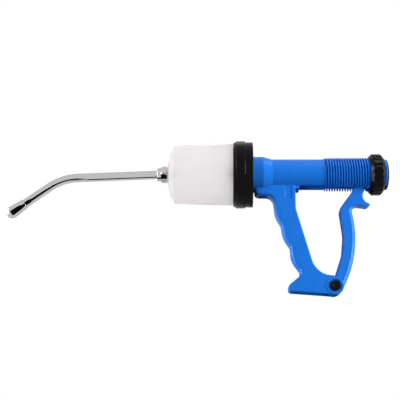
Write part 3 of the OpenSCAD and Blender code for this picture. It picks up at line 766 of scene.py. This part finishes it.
# %% Lever plate
LEVER_HALF = 5.8
LEVER_SHARES = [(0.002, 0.054, 0), (0.077, 0.268, 0.08), (0.097, 0.432, 0.3), (0.073, 0.672, 0.08),
                (0.186, 0.822, 0.06), (0.236, 0.922, 0), (0.326, 0.9, 0), (0.262, 0.757, 0.07),
                (0.352, 0.714, 0.01), (0.316, 0.692, 0.01), (0.1734, 0.7104, 0.047),
                (0.2504, 0.2846, 0.96), (0.0631, -0.0356, 0)]
LEVER_STEP = 0.8
PALM_FACING = -0.2
SPUR_SHARE = 0.27
PALM_EDGE = 3.6
FRONT_EDGE = 1.2
BEVEL_SHARE = 0.85
lever_line = even(rounded([(pivot_x + pivot_drop * x, -pivot_drop * (1 - z), pivot_drop * r)
                           for x, z, r in LEVER_SHARES]), LEVER_STEP)
palm_side = inward_of(lever_line)[:, 0] < PALM_FACING
spur = lever_line[:, 0] > pivot_x + pivot_drop * SPUR_SHARE
edge = np.where(palm_side & ~spur, PALM_EDGE, FRONT_EDGE)
lever = rolled_plate("palm_lever", lever_line, LEVER_HALF, soften(edge, BLUR), flat=BEVEL_SHARE)
print("lever outline", len(lever_line), "points")

# %% Lever joined and cut
LEAN = math.radians(18.5)
FORK_FOOT = 0.95
FORK_W = 15.2
FORK_TOP = 2.0
SLOT_R = 3.75
SLOT_DROP = 0.75
FORK_BIAS = 0.36
PIVOT_PLAY = 0.06
reach = pivot_drop / math.cos(LEAN)
along = np.array([[math.cos(LEAN), -math.sin(LEAN)], [math.sin(LEAN), math.cos(LEAN)]])
fork_foot = pivot_drop * FORK_FOOT
fork_line = rounded([(-FORK_W / 2, fork_foot, 0), (FORK_W / 2, fork_foot, 0),
                     (FORK_W / 2, reach + FORK_TOP, 2.0), (-FORK_W / 2, reach + FORK_TOP, 2.0)])
fork = rolled_plate("lever_fork", even(fork_line @ along + at_pivot, LEVER_STEP), LEVER_HALF, 0.8)
hub = across(HUB_R, LEVER_HALF, 0.8, at_pivot, "lever_hub", 96)
combine(lever, [fork, hub], "UNION")
slot_z = pivot_drop - SLOT_DROP
slot_line = rounded([(FORK_BIAS - SLOT_R, slot_z - SLOT_R, SLOT_R - 0.01),
                     (FORK_BIAS + SLOT_R, slot_z - SLOT_R, SLOT_R - 0.01),
                     (FORK_BIAS + SLOT_R, reach + SIDE_OUT, 0), (FORK_BIAS - SLOT_R, reach + SIDE_OUT, 0)])
slot_rows = [np.insert(slot_line @ along + at_pivot, 1, y, axis=1) for y in (-SIDE_OUT, SIDE_OUT)]
combine(lever, [shell("pin_slot", np.array(slot_rows), capped=True),
                across(PIN_R + PIVOT_PLAY, SIDE_OUT, 0, at_pivot, "pin_hole")], "DIFFERENCE")
dress(lever, "lever")

# %% [markdown]
# ## Dose nut
# The dose nut is a black knob on the thread. Wide ribs with narrow valleys run over its rim. Valleys
# that are cut out one by one have sharp sides. Here they take away what stands above their own radius,
# with eased sides, so they run out on the knob's sloped ends.

# %% Dose nut
nut_low, nut_high = span("dose_nut")
RIBS = 20
RIB_RISE = 1.0
RIB_SHARE = 0.68
RIB_EDGE = 0.9
CROWN_R = nut_high[2]
VALLEY_R = CROWN_R - RIB_RISE
DOSE_IN_R = 19.31
SHOULDER = 3.6
REAR_EDGE = 3.2
GROOVE_R = 20.57
GROOVE_IN = 0.9
GROOVE_LEN = 2.6
RIB_COLUMNS = 16
groove_x = nut_low[0] + GROOVE_IN
groove_end = groove_x + GROOVE_LEN


def ribbed(x, r, a):
    """Knob radius: what stands above the valleys' radius is kept on a rib and goes between two ribs,
    with an eased side."""
    step = 360 / RIBS
    edge = np.degrees(RIB_EDGE / VALLEY_R)
    rib = ease((step * RIB_SHARE / 2 - off_centre(a, step)) / edge + 0.5)
    return np.minimum(r, VALLEY_R) + np.maximum(r - VALLEY_R, 0) * rib


knob_line = rounded([
    (nut_low[0], DOSE_IN_R, 0.2), (nut_low[0], CROWN_R - SHOULDER, 0.6),
    (nut_low[0] + SHOULDER - RIB_RISE, VALLEY_R, 0), (nut_low[0] + SHOULDER, CROWN_R, 1.4),
    (nut_high[0] - REAR_EDGE, CROWN_R, 1.4), (nut_high[0] - REAR_EDGE + RIB_RISE, VALLEY_R, 0),
    (nut_high[0], CROWN_R - REAR_EDGE, 1.0), (nut_high[0], DOSE_IN_R, 0.2),
    (groove_end, DOSE_IN_R, 0), (groove_end, GROOVE_R, 0), (groove_x, GROOVE_R, 0), (groove_x, DOSE_IN_R, 0)])
dose_nut = shell("dose_knob", spun(knob_line, RIBS * RIB_COLUMNS, shape=ribbed), ring=True)
dress(dose_nut, "dose_nut")

# %% [markdown]
# ## Rear plug and pivot pin
# Small black mouldings: the plug closes the tube's end, and the pin's flat head and its cap sit in
# the round recesses of the pivot boss. Cylinders with a Bevel would do, but a turned profile gives each
# edge a radius of its own.

# %% Rear plug
plug_low, plug_high = span("rear_plug")
PLUG_R = TUBE_BORE_R - FIT
PLUG_WALL = 2
PLUG_DISH = 0.5
DISH_RIM, DISH_FLOOR = 1, 1.6
plug_line = rounded([(tube_end, 0, 0), (tube_end, PLUG_R - PLUG_WALL, 0.2),
                     (plug_low[0], PLUG_R - PLUG_WALL, 0.4),
                     (plug_low[0], PLUG_R, 0.4), (tube_end, PLUG_R, 0.2), (tube_end, plug_high[1], 0.2),
                     (plug_high[0], plug_high[1], 0.7), (plug_high[0], PLUG_R - DISH_RIM, 0.3),
                     (plug_high[0] - PLUG_DISH, PLUG_R - DISH_FLOOR, 0.3),
                     (plug_high[0] - PLUG_DISH, 0, 0)], closed=False)
dress(shell("tube_plug", spun(plug_line, 128)), "rear_plug")

# %% Pivot pin and cap
pin_low, pin_high = span("pivot_pin")
cap_low, cap_high = span("pivot_cap")
TAIL_R = PIN_R * 0.6
DIMPLE = 0.3
DIMPLE_FLOOR, DIMPLE_R = 1.6, 2.0
seat = cap_low[1]
pin_line = rounded([(pin_low[1] + DIMPLE, 0, 0), (pin_low[1] + DIMPLE, DIMPLE_FLOOR, 0.2),
                    (pin_low[1], DIMPLE_R, 0.2), (pin_low[1], HEAD_R, 0.5), (-seat, HEAD_R, 0.2),
                    (-seat, PIN_R, 0.1), (seat, PIN_R, 0.2), (seat, TAIL_R, 0.1), (pin_high[1], TAIL_R, 0.3),
                    (pin_high[1], 0, 0)], closed=False)
pin_place = (pivot_x, 0, -pivot_drop)
dress(shell("pivot_bolt", spun(pin_line, 72, ACROSS, pin_place)), "pivot_pin")
cap_line = rounded([(seat, TAIL_R + FIT, 0.1), (cap_high[1], TAIL_R + FIT, 0.2),
                    (cap_high[1], HEAD_R, 0.5), (seat, HEAD_R, 0.2)])
dress(shell("pivot_button", spun(cap_line, 72, ACROSS, pin_place), ring=True), "pivot_cap")

# %% [markdown]
# ## Nozzle
# The nozzle is a bent tube: level, a slight droop, then the long bend. A bevelled curve would do, but
# it has no inner wall. Here the heading is known at each length. Adding up small steps along it gives
# the path, and a circle carried along the path gives the wall, outside and inside.

# %% Nozzle's path
DROOP = 2.3
SLOPE = 36.8
TUBE_START = -103.5
STUB_LEN = 3.6
KINK_R = 60
RUN_LEN = 92.0
BEND_R = 57
END_LEN = 42.7
FINE_POINTS = 4001
# Stretches of the tube: length, heading at the start, heading at the end, in degrees below level.
STRETCHES = [(STUB_LEN, 0, 0), (KINK_R * math.radians(DROOP), 0, DROOP), (RUN_LEN, DROOP, DROOP),
             (BEND_R * math.radians(SLOPE - DROOP), DROOP, SLOPE), (END_LEN, SLOPE, SLOPE)]
ends = running([length for length, _, _ in STRETCHES])
headings = np.array([0.0] + [last for _, _, last in STRETCHES])


def along_nozzle(s):
    """Centreline at lengths s: the running sum of fine steps along the heading, in the X-Z plane."""
    fine = np.linspace(0, ends[-1], FINE_POINTS)
    heading = np.radians(np.interp((fine[1:] + fine[:-1]) / 2, ends, headings))
    step = fine[1]
    x = TUBE_START - running(np.cos(heading) * step)
    z = -running(np.sin(heading) * step)
    return np.interp(s, fine, x), np.interp(s, fine, z), np.radians(np.interp(s, ends, headings))


print("nozzle tube", round(ends[-1], 1), "mm long")

# %% Nozzle tube
NOZZLE_R = 4.85
NOZZLE_WALL = 1.0
STRAIGHT_ROWS = 9
BEND_ROWS = 61


def carried(radius, s, sides=96):
    """Grid of a circle carried along the centreline, square to the heading."""
    x, z, heading = along_nozzle(s)
    a = np.linspace(0, 2 * np.pi, sides, endpoint=False)
    up = np.stack([-np.sin(heading), 0 * s, np.cos(heading)], -1)
    centre = np.stack([x, 0 * s, z], -1)
    aside = np.array([0, 1, 0])
    return centre[:, None] + radius * (np.cos(a)[:, None] * aside + np.sin(a)[:, None] * up[:, None])


rows = [STRAIGHT_ROWS if first == last else BEND_ROWS for _, first, last in STRETCHES]
parts = [np.linspace(a, b, count)[:-1] for a, b, count in zip(ends, ends[1:], rows)]
s = np.append(np.concatenate(parts), ends[-1])
wall = np.concatenate([carried(NOZZLE_R, s), carried(NOZZLE_R - NOZZLE_WALL, s[::-1])])
dress(shell("nozzle_pipe", wall, ring=True), "nozzle_tube")

# %% [markdown]
# ## Nozzle tip
# The bulb is pressed or soldered on the tube's end. A sphere and a cone that touch along a circle
# would leave a joint line if they were two pieces, so they are one profile, turned about the heading.

# %% Nozzle tip
TIP_LEN = 23.8
TIP_R = 6.9
TIP_NECK_R = 5.45
MOUTH_BORE = 2.5
SOCKET = 10.0
SOCKET_GAP = 0.1
BULB_ROWS = 24
FLARE_AT, FLARE = 2.0, 0.22
MOUTH_EDGE = 0.5
LIP_OUT, LIP_WIDER = 0.3, 0.2
tip_x, tip_z, tip_heading = (float(v) for v in along_nozzle(np.array(ends[-1] - SOCKET + SOCKET_GAP)))
level, down = math.cos(tip_heading), math.sin(tip_heading)
tip_axes = np.array([[-level, 0, -down], [0, 1, 0], [-down, 0, level]])
ball_at = TIP_LEN - TIP_R
tilt = math.asin((TIP_R - TIP_NECK_R) / ball_at)
bulge = np.linspace(np.pi / 2 + tilt, math.asin((MOUTH_BORE + MOUTH_EDGE) / TIP_R), BULB_ROWS)
bulb = np.stack([ball_at + TIP_R * np.cos(bulge), TIP_R * np.sin(bulge)], 1)
mouth_x = bulb[-1, 0]
tip_line = np.concatenate([
    rounded([(SOCKET, NOZZLE_R + FIT, 0), (0, NOZZLE_R + FIT, 0.15), (0, TIP_NECK_R, 0.25),
             (FLARE_AT, TIP_NECK_R + FLARE, 0)], closed=False),
    bulb,
    rounded([(mouth_x + LIP_OUT, MOUTH_BORE + LIP_WIDER, 0), (mouth_x, MOUTH_BORE, 0.2),
             (SOCKET, MOUTH_BORE, 0)], closed=False)])
tip = shell("bulb_tip", spun(tip_line, 72, tip_axes, (tip_x, 0, tip_z)), ring=True)
dress(tip, "nozzle_tip")

# %% [markdown]
# ## Nuts
# A hexagon nut is the smaller of two radii: that of six flats, and that of a cone that chamfers the
# corners at both ends. A six-sided prism would need its corners cut. Taking the smaller radius draws
# the curved chamfer lines by itself.

# %% Helper for nuts
FLAT_MARGIN = 0.6
HALF_FLAT = math.pi / 6


def hexed(across_flats, corner, turn):
    """Radius function of a nut: flats at half the width over cos of the angle from their middle,
    cut off where the profile's own radius is smaller."""
    def shape(x, r, a):
        flat = across_flats / 2 / np.cos(np.radians(off_centre(a, 60.0, turn)))
        return np.where(r > across_flats / 2 - FLAT_MARGIN, np.minimum(np.minimum(flat, corner), r), r)
    return shape


print("a hexagon's corners stand out", round(1 / math.cos(HALF_FLAT), 3), "times as far as its flats")

# %% Union nut
union_low, union_high = span("union_nut")
UNION_AF = 17.0
UNION_RING_R = 7.6
UNION_BORE_R = 6.86
UNION_HOLE_R = 5.0
UNION_SEAT_X = -105.2
HEX_X = -104.8
CHAMFER_X, CHAMFER_R = 0.6, 0.9
CORNER_WEAR = 0.25
UNION_CORNER = UNION_AF / 2 / math.cos(HALF_FLAT)
UNION_TURN = 33.3
union_line = rounded([
    (union_high[0], UNION_BORE_R, 0.2), (union_high[0], UNION_CORNER - CHAMFER_R, 0),
    (union_high[0] - CHAMFER_X, UNION_CORNER, 0), (HEX_X + CHAMFER_X, UNION_CORNER, 0),
    (HEX_X, UNION_CORNER - CHAMFER_R, 0), (HEX_X, UNION_RING_R, 0.2),
    (union_low[0], UNION_RING_R, 0.8), (union_low[0], UNION_HOLE_R, 0.3),
    (UNION_SEAT_X, UNION_HOLE_R, 0), (UNION_SEAT_X, UNION_BORE_R, 0)])
union_hex = hexed(UNION_AF, UNION_CORNER - CORNER_WEAR, UNION_TURN)
union_nut = shell("union_nut_hex", spun(union_line, 192, shape=union_hex), ring=True)
dress(union_nut, "union_nut")

# %% Piston nut
stud_low, stud_high = span("piston_nut")
STUD_R = 3.0
STUD_CORNER = stud_high[2]
STUD_AF = 2 * STUD_CORNER * math.cos(HALF_FLAT)
STUD_CHAMFER_X, STUD_CHAMFER_R = 0.4, 0.6
stud_line = rounded([
    (stud_low[0], STUD_R + FIT, 0), (stud_low[0], STUD_CORNER - STUD_CHAMFER_R, 0),
    (stud_low[0] + STUD_CHAMFER_X, STUD_CORNER, 0), (stud_high[0] - STUD_CHAMFER_X, STUD_CORNER, 0),
    (stud_high[0], STUD_CORNER - STUD_CHAMFER_R, 0), (stud_high[0], STUD_R + FIT, 0)])
piston_nut = shell("piston_locknut", spun(stud_line, 96, shape=hexed(STUD_AF, STUD_CORNER, 0.0)), ring=True)
dress(piston_nut, "piston_nut")

# %% [markdown]
# ## Return spring
# The spring is a wire carried round a helix, with close turns at both ends where it is seated. The
# Screw modifier could wind it, but with one pitch only. It can't follow the plunger as a stiff piece
# would, and it gets a mesh of its own.

# %% Return spring
spring_low, spring_high = span("return_spring")
WIRE_R = 0.9
SPRING_R = spring_high[1] - WIRE_R
TURNS = 12
END_TURNS = 1.0
CLOSE_PITCH = 2.1
TURN_STEPS = 30
PITCH_BLUR = 12
WIRE_SIDES = 10
t = np.linspace(0, TURNS, TURNS * TURN_STEPS + 1)
close = CLOSE_PITCH * WIRE_R
free_len = spring_high[0] - spring_low[0]
open_pitch = (free_len - 2 * WIRE_R - 2 * END_TURNS * close) / (TURNS - 2 * END_TURNS)
lead = np.where((t < END_TURNS) | (t > TURNS - END_TURNS), close, open_pitch)
rise = running(soften(lead, PITCH_BLUR)[1:])
coil_x = spring_low[0] + WIRE_R + rise / rise[-1] * (free_len - 2 * WIRE_R)
out = np.stack([0 * t, np.cos(2 * np.pi * t), np.sin(2 * np.pi * t)], -1)
ring = np.linspace(0, 2 * np.pi, WIRE_SIDES, endpoint=False)[:, None]
centre = np.stack([coil_x, 0 * t, 0 * t], -1) + SPRING_R * out
wire = centre[:, None] + WIRE_R * (np.cos(ring) * out[:, None] + np.sin(ring) * np.array([1, 0, 0]))
spring = shell("return_coil", wire, capped=True)
dress(spring, "return_spring")
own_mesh(spring)

# %% [markdown]
# ## Inner turned pieces
# The rod, the piston's plates, the bush, the washers and the seals are all turned. The solids could
# stay, but their edges are sharp. Their length and outer radius are read from the solids, and each gets
# its own bore and the edge that its making gives.

# %% Rings, plates and washers
AIR = 0.02
SEAT_BORE_R = 5.6


def turned_ring(node, name, bore, edge):
    """Ring with the solid's outside radius, its own bore and rolled or broken edges. Its length leaves a
    hair of air at each end, so that pieces that turn against it stay clear."""
    low, high = span(node)
    start, end = low[0] + AIR, high[0] - AIR
    line = rounded([(start, bore, edge / 2), (start, high[1], edge), (end, high[1], edge),
                    (end, bore, edge / 2)], steps=4)
    dress(shell(name, spun(line, 96), ring=True), node)


turned_ring("barrel_gasket", "barrel_seal", BORE_R, 0.3)
turned_ring("spring_washer", "spring_seat", SEAT_BORE_R, 0.25)
turned_ring("piston_front", "piston_face", STUD_R + FIT, 0.8)
turned_ring("piston_back", "piston_plate", STUD_R + FIT, 0.5)
turned_ring("piston_washer", "piston_shim", STUD_R + FIT, 0.2)
turned_ring("friction_ring", "drag_ring", DOSE_IN_R, 0.3)
turned_ring("nozzle_gasket", "nozzle_seal", OUTLET_R, 0.2)
turned_ring("nozzle_ferrule", "pipe_ferrule", NOZZLE_R + FIT, 0.3)

# %% Piston seal, bush, rod and cross pin
seal_low, seal_high = span("piston_seal")
LIP = 0.5
# Width of each lip, at its rim and at its root.
FRONT_RIM, FRONT_ROOT = 1.2, 1.6
BACK_RIM, BACK_ROOT = 0.8, 1.2
seal_line = rounded([(seal_low[0], STUD_R + FIT, 0), (seal_low[0], seal_high[1], 0.25),
                     (seal_low[0] + FRONT_RIM, seal_high[1], 0.25),
                     (seal_low[0] + FRONT_ROOT, seal_high[1] - LIP, 0.2),
                     (seal_high[0] - BACK_ROOT, seal_high[1] - LIP, 0.2),
                     (seal_high[0] - BACK_RIM, seal_high[1], 0.25),
                     (seal_high[0], seal_high[1], 0.25), (seal_high[0], STUD_R + FIT, 0)], steps=4)
dress(shell("piston_cup", spun(seal_line, 128), ring=True), "piston_seal")

bush_low, bush_high = span("rod_bush")
BUSH_R = 9.0
BUSH_HOLE_R = 5.06
bush_line = rounded([(bush_low[0], BUSH_HOLE_R, 0.4), (bush_low[0], BUSH_R, 0.4), (NECK_END, BUSH_R, 0.2),
                     (NECK_END, bush_high[1], 0.3), (bush_high[0], bush_high[1], 0.3),
                     (bush_high[0], BUSH_HOLE_R, 0.4)], steps=4)
dress(shell("guide_bush", spun(bush_line, 96), ring=True), "rod_bush")

rod_low, rod_high = span("plunger_rod")
ROD_R = rod_high[1]
TANG_R = ROD_R - 1
PISTON_X = span("piston_back")[1][0]
YOKE_X = span("yoke")[0][0]
rod_line = rounded([(rod_low[0], 0, 0), (rod_low[0], STUD_R, 0.5), (PISTON_X, STUD_R, 0.1),
                    (PISTON_X, ROD_R, 0.4), (YOKE_X, ROD_R, 0.2), (YOKE_X, TANG_R, 0.1),
                    (rod_high[0], TANG_R, 0.4), (rod_high[0], 0, 0)], closed=False, steps=4)
dress(shell("push_rod", spun(rod_line, 64)), "plunger_rod")

cross_low, cross_high = span("cross_pin")
cross_x = (cross_low[0] + cross_high[0]) / 2
fork_pin = across(cross_high[2], cross_high[1], 0.5, (cross_x, 0), "fork_pin")
dress(fork_pin, "cross_pin")

# %% [markdown]
# ## Light
# Plain studio light: a key from the front right, a weaker fill from the front left, lights on both
# sides and one from above, over a dim surrounding light. Three strips, on both sides and above,
# only show as highlights. Brighter lamps could whiten the background, but they would bleach the part.

# %% Lamps
def softbox(name, place, size, watts, shows):
    """Area light at a place in metres, aimed at the object, as wide and high as given. It either lights
    surfaces, as a wide white wall would, or only shows in them as a highlight, as a strip of light."""
    data = bpy.data.lights.new(name, "AREA")
    data.shape = "RECTANGLE"
    data.size, data.size_y = size
    data.energy = watts
    lamp = placed(name, data)
    away = Vector(place) - (Vector(cad_box[0]) + Vector(cad_box[1])) / 2
    lamp.matrix_world = Matrix.Translation(place) @ away.to_track_quat("Z", "Y").to_matrix().to_4x4()
    lamp.visible_glossy = shows
    lamp.visible_diffuse = not shows
    lamp.visible_transmission = False
    print(name, "at", place, "m,", watts, "W")


softbox("front_light", (1.1, -0.9, 0.4), (0.5, 0.6), 15.5, False)
softbox("fill_light", (-0.85, -1.05, -0.35), (0.5, 0.6), 6.0, False)
softbox("left_light", (-1.5, 0.06, 0.0), (0.25, 0.9), 24, False)
softbox("right_light", (1.5, -0.2, 0.15), (0.6, 1.0), 26, False)
softbox("top_light", (-0.1, 0.1, 1.5), (1.4, 1.4), 8, False)
softbox("left_strip", (-1.5, -0.1, 0.2), (0.5, 1.4), 55, True)
softbox("right_strip", (1.5, -0.4, 0.15), (0.5, 1.4), 60, True)
softbox("top_strip", (0.55, -0.45, 1.4), (0.9, 0.12), 8, True)

# %% [markdown]
# ## Floor
# The floor is pale paper far below the object, so that the view from below stays clear of it. It is
# one wide sheet. It glows a little, as a light table does, because the lamps don't reach all of it.

# %% Floor
FLECK_MM = 8
FLECK_BUMP, FLECK_DEPTH = 0.1, 0.05


def plain_surface(name, code, glow=0.0):
    """Matt paper of one colour with a faint fleck, for the floor and the dark cards. A glow, as on a
    light table, keeps it pale where the lamps don't reach."""
    material, tree, place = fresh(name)
    fleck = add(tree, "ShaderNodeTexNoise", {"Scale": per_mm(FLECK_MM), "Detail": 2.0}, {"Vector": place})
    material.cycles.emission_sampling = "NONE"
    return finished(material, tree, fleck, FLECK_BUMP, FLECK_DEPTH,
                    {"Base Color": colour(code), "Roughness": 0.9, "Specular IOR Level": 0.0,
                     "Emission Color": colour(code), "Emission Strength": glow}, {})


def staged(name, grid, material):
    """An open sheet over a grid of points, with the given material."""
    rows, columns = grid.shape[:2]
    i, j = np.meshgrid(np.arange(rows - 1), np.arange(columns - 1), indexing="ij")
    first = i * columns + j
    faces = np.stack([first, first + 1, first + columns + 1, first + columns], -1).reshape(-1, 4)
    mesh = bpy.data.meshes.new(name)
    mesh.from_pydata((datum + grid.reshape(-1, 3) * MM).tolist(), [], faces.tolist())
    mesh.materials.append(material)
    sheet = placed(name, mesh)
    return sheet


FLOOR_DROP = 1100.0
FLOOR_HALF = 40000.0
FLOOR_GLOW = 0.6
FLOOR_POINTS = 9
across_floor = np.linspace(-FLOOR_HALF, FLOOR_HALF, FLOOR_POINTS)
floor_x, floor_y = np.meshgrid(across_floor, across_floor, indexing="xy")
floor_grid = np.stack([floor_x, floor_y, 0 * floor_x - FLOOR_DROP], -1)
floor = staged("pale_floor", floor_grid, plain_surface("pale_paper", "#f2f2f2", FLOOR_GLOW))
floor.visible_diffuse = False
floor.visible_glossy = False
floor.visible_transmission = False
print("floor", FLOOR_DROP, "mm below the barrel's axis")

# %% [markdown]
# ## Dark cards
# Polished metal shows its surroundings, and in a white room it would look white. A photographer puts
# black cards near it. Here one black ribbon runs in front of the nozzle, so that each length of the
# tube shows a dark line, and a small card stands before the union nut. A third card, behind the grip,
# keeps the white room out of the plastic's side walls, which mirror it at a low angle. The camera
# doesn't see the cards, and they throw no shadow.

# %% Card for the nozzle
CARD_AWAY = 60.0
CARD_ROWS = 80
# Stops of the nozzle's ribbon: length along the tube, tilt in degrees, width.
CARD_STOPS = np.array([(0, -60, 34), (108, -60, 34), (120, -52, 40), (127, -40, 48), (134, -28, 58),
                       (142, -20, 64), (160, -20, 70), (166, -15, 150), (215, -15, 170)], float)


def card_ribbon(s, tilt, wide):
    """Ribbon along the nozzle: at each length s it stands off in the camera's direction, tilted about
    the tube by an angle, and as wide as given, square to that direction."""
    x, z, heading = along_nozzle(np.minimum(s, ends[-1]))
    beyond = np.maximum(s - ends[-1], 0)
    flow = np.stack([-np.cos(heading), 0 * s, -np.sin(heading)], -1)
    centre = np.stack([x, 0 * s, z], -1) + flow * beyond[:, None]
    lift = np.cross(np.broadcast_to(outward, flow.shape), flow)
    lift *= np.sign(lift[:, 2:3])
    lift /= np.linalg.norm(lift, axis=1, keepdims=True)
    front = np.cross(flow, lift)
    front *= np.sign(np.sum(front * outward, 1))[:, None]
    t = np.radians(tilt)[:, None]
    toward = front * np.cos(t) + lift * np.sin(t)
    side = lift * np.cos(t) - front * np.sin(t)
    middle = centre + toward * CARD_AWAY
    edges = np.array([-0.5, 0.5])[None, :, None] * wide[:, None, None]
    return middle[:, None] + side[:, None] * edges


s = np.linspace(0, CARD_STOPS[-1, 0], CARD_ROWS)
tilt, wide = (np.interp(s, CARD_STOPS[:, 0], CARD_STOPS[:, k]) for k in (1, 2))
ribbon = card_ribbon(s, tilt, wide)
print("nozzle card", ribbon.shape[0], "rows")

# %% Cards for the nut and the grip
NUT_MIDDLE = np.array([-101.5, 0, 0])
NUT_CARD_AWAY = 80
NUT_CARD_HALF = (7, 36)
NUT_CARD_SIDE = (-0.1, -0.86, -0.5)
BACK_CARD_X = (0.0, 125.0)
BACK_CARD_Y = 120.0
BACK_CARD_Z = (-300.0, -12.0)
toward_nut = unit(np.array(NUT_CARD_SIDE))
up_card = unit(np.cross(np.array([1, 0, 0]), toward_nut))
nut_front = NUT_MIDDLE + NUT_CARD_AWAY * toward_nut
ends_u, ends_v = ((-half, half) for half in NUT_CARD_HALF)
nut_card = nut_front + np.array([[(u, 0, 0) + v * up_card for u in ends_u] for v in ends_v])
back_card = np.array([[(x, BACK_CARD_Y, z) for x in BACK_CARD_X] for z in BACK_CARD_Z])
black_paper = plain_surface("black_paper", "#0a0a0a")
cards = {"nozzle_card": ribbon, "nut_card": nut_card, "back_card": back_card}
for name, grid in cards.items():
    card = staged(name, grid, black_paper)
    card.visible_camera = False
    card.visible_diffuse = False
    card.visible_shadow = False
    card.visible_transmission = False
print("cards", sorted(cards))

# %% [markdown]
# ## White surroundings
# The camera, reflections and views through the barrel meet a plain white. Surfaces are lit by a dimmer
# light, stronger from above. One world can do both, because the kind of ray chooses between the two.

# %% White surroundings
# Strength of the surrounding light, from below and from above.
LOW_LIGHT, HIGH_LIGHT = 0.12, 0.34
world = bpy.data.worlds.new("studio")
bpy.context.scene.world = world
world.use_nodes = True
tree = world.node_tree
tree.nodes.clear()
rays = add(tree, "ShaderNodeLightPath")
seen = rays.outputs["Is Camera Ray"]
for kind in ("Is Glossy Ray", "Is Transmission Ray"):
    seen = add(tree, "ShaderNodeMath", (), {0: seen, 1: rays.outputs[kind]}, operation="MAXIMUM").outputs[0]
aim = add(tree, "ShaderNodeSeparateXYZ", (), {0: add(tree, "ShaderNodeTexCoord").outputs["Generated"]})
sky = add(tree, "ShaderNodeMapRange",
          {"From Min": -0.5, "From Max": 0.5, "To Min": LOW_LIGHT, "To Max": HIGH_LIGHT},
          {"Value": aim.outputs["Z"]})
ambient = add(tree, "ShaderNodeBackground", {"Color": colour("#ffffff")}, {"Strength": sky.outputs["Result"]})
white = add(tree, "ShaderNodeBackground", {"Color": colour("#ffffff"), "Strength": 1.0})
mixed = add(tree, "ShaderNodeMixShader", (), {"Fac": seen, 1: ambient.outputs[0], 2: white.outputs[0]})
add(tree, "ShaderNodeOutputWorld", (), {"Surface": mixed.outputs[0]})
print("world nodes", len(tree.nodes))
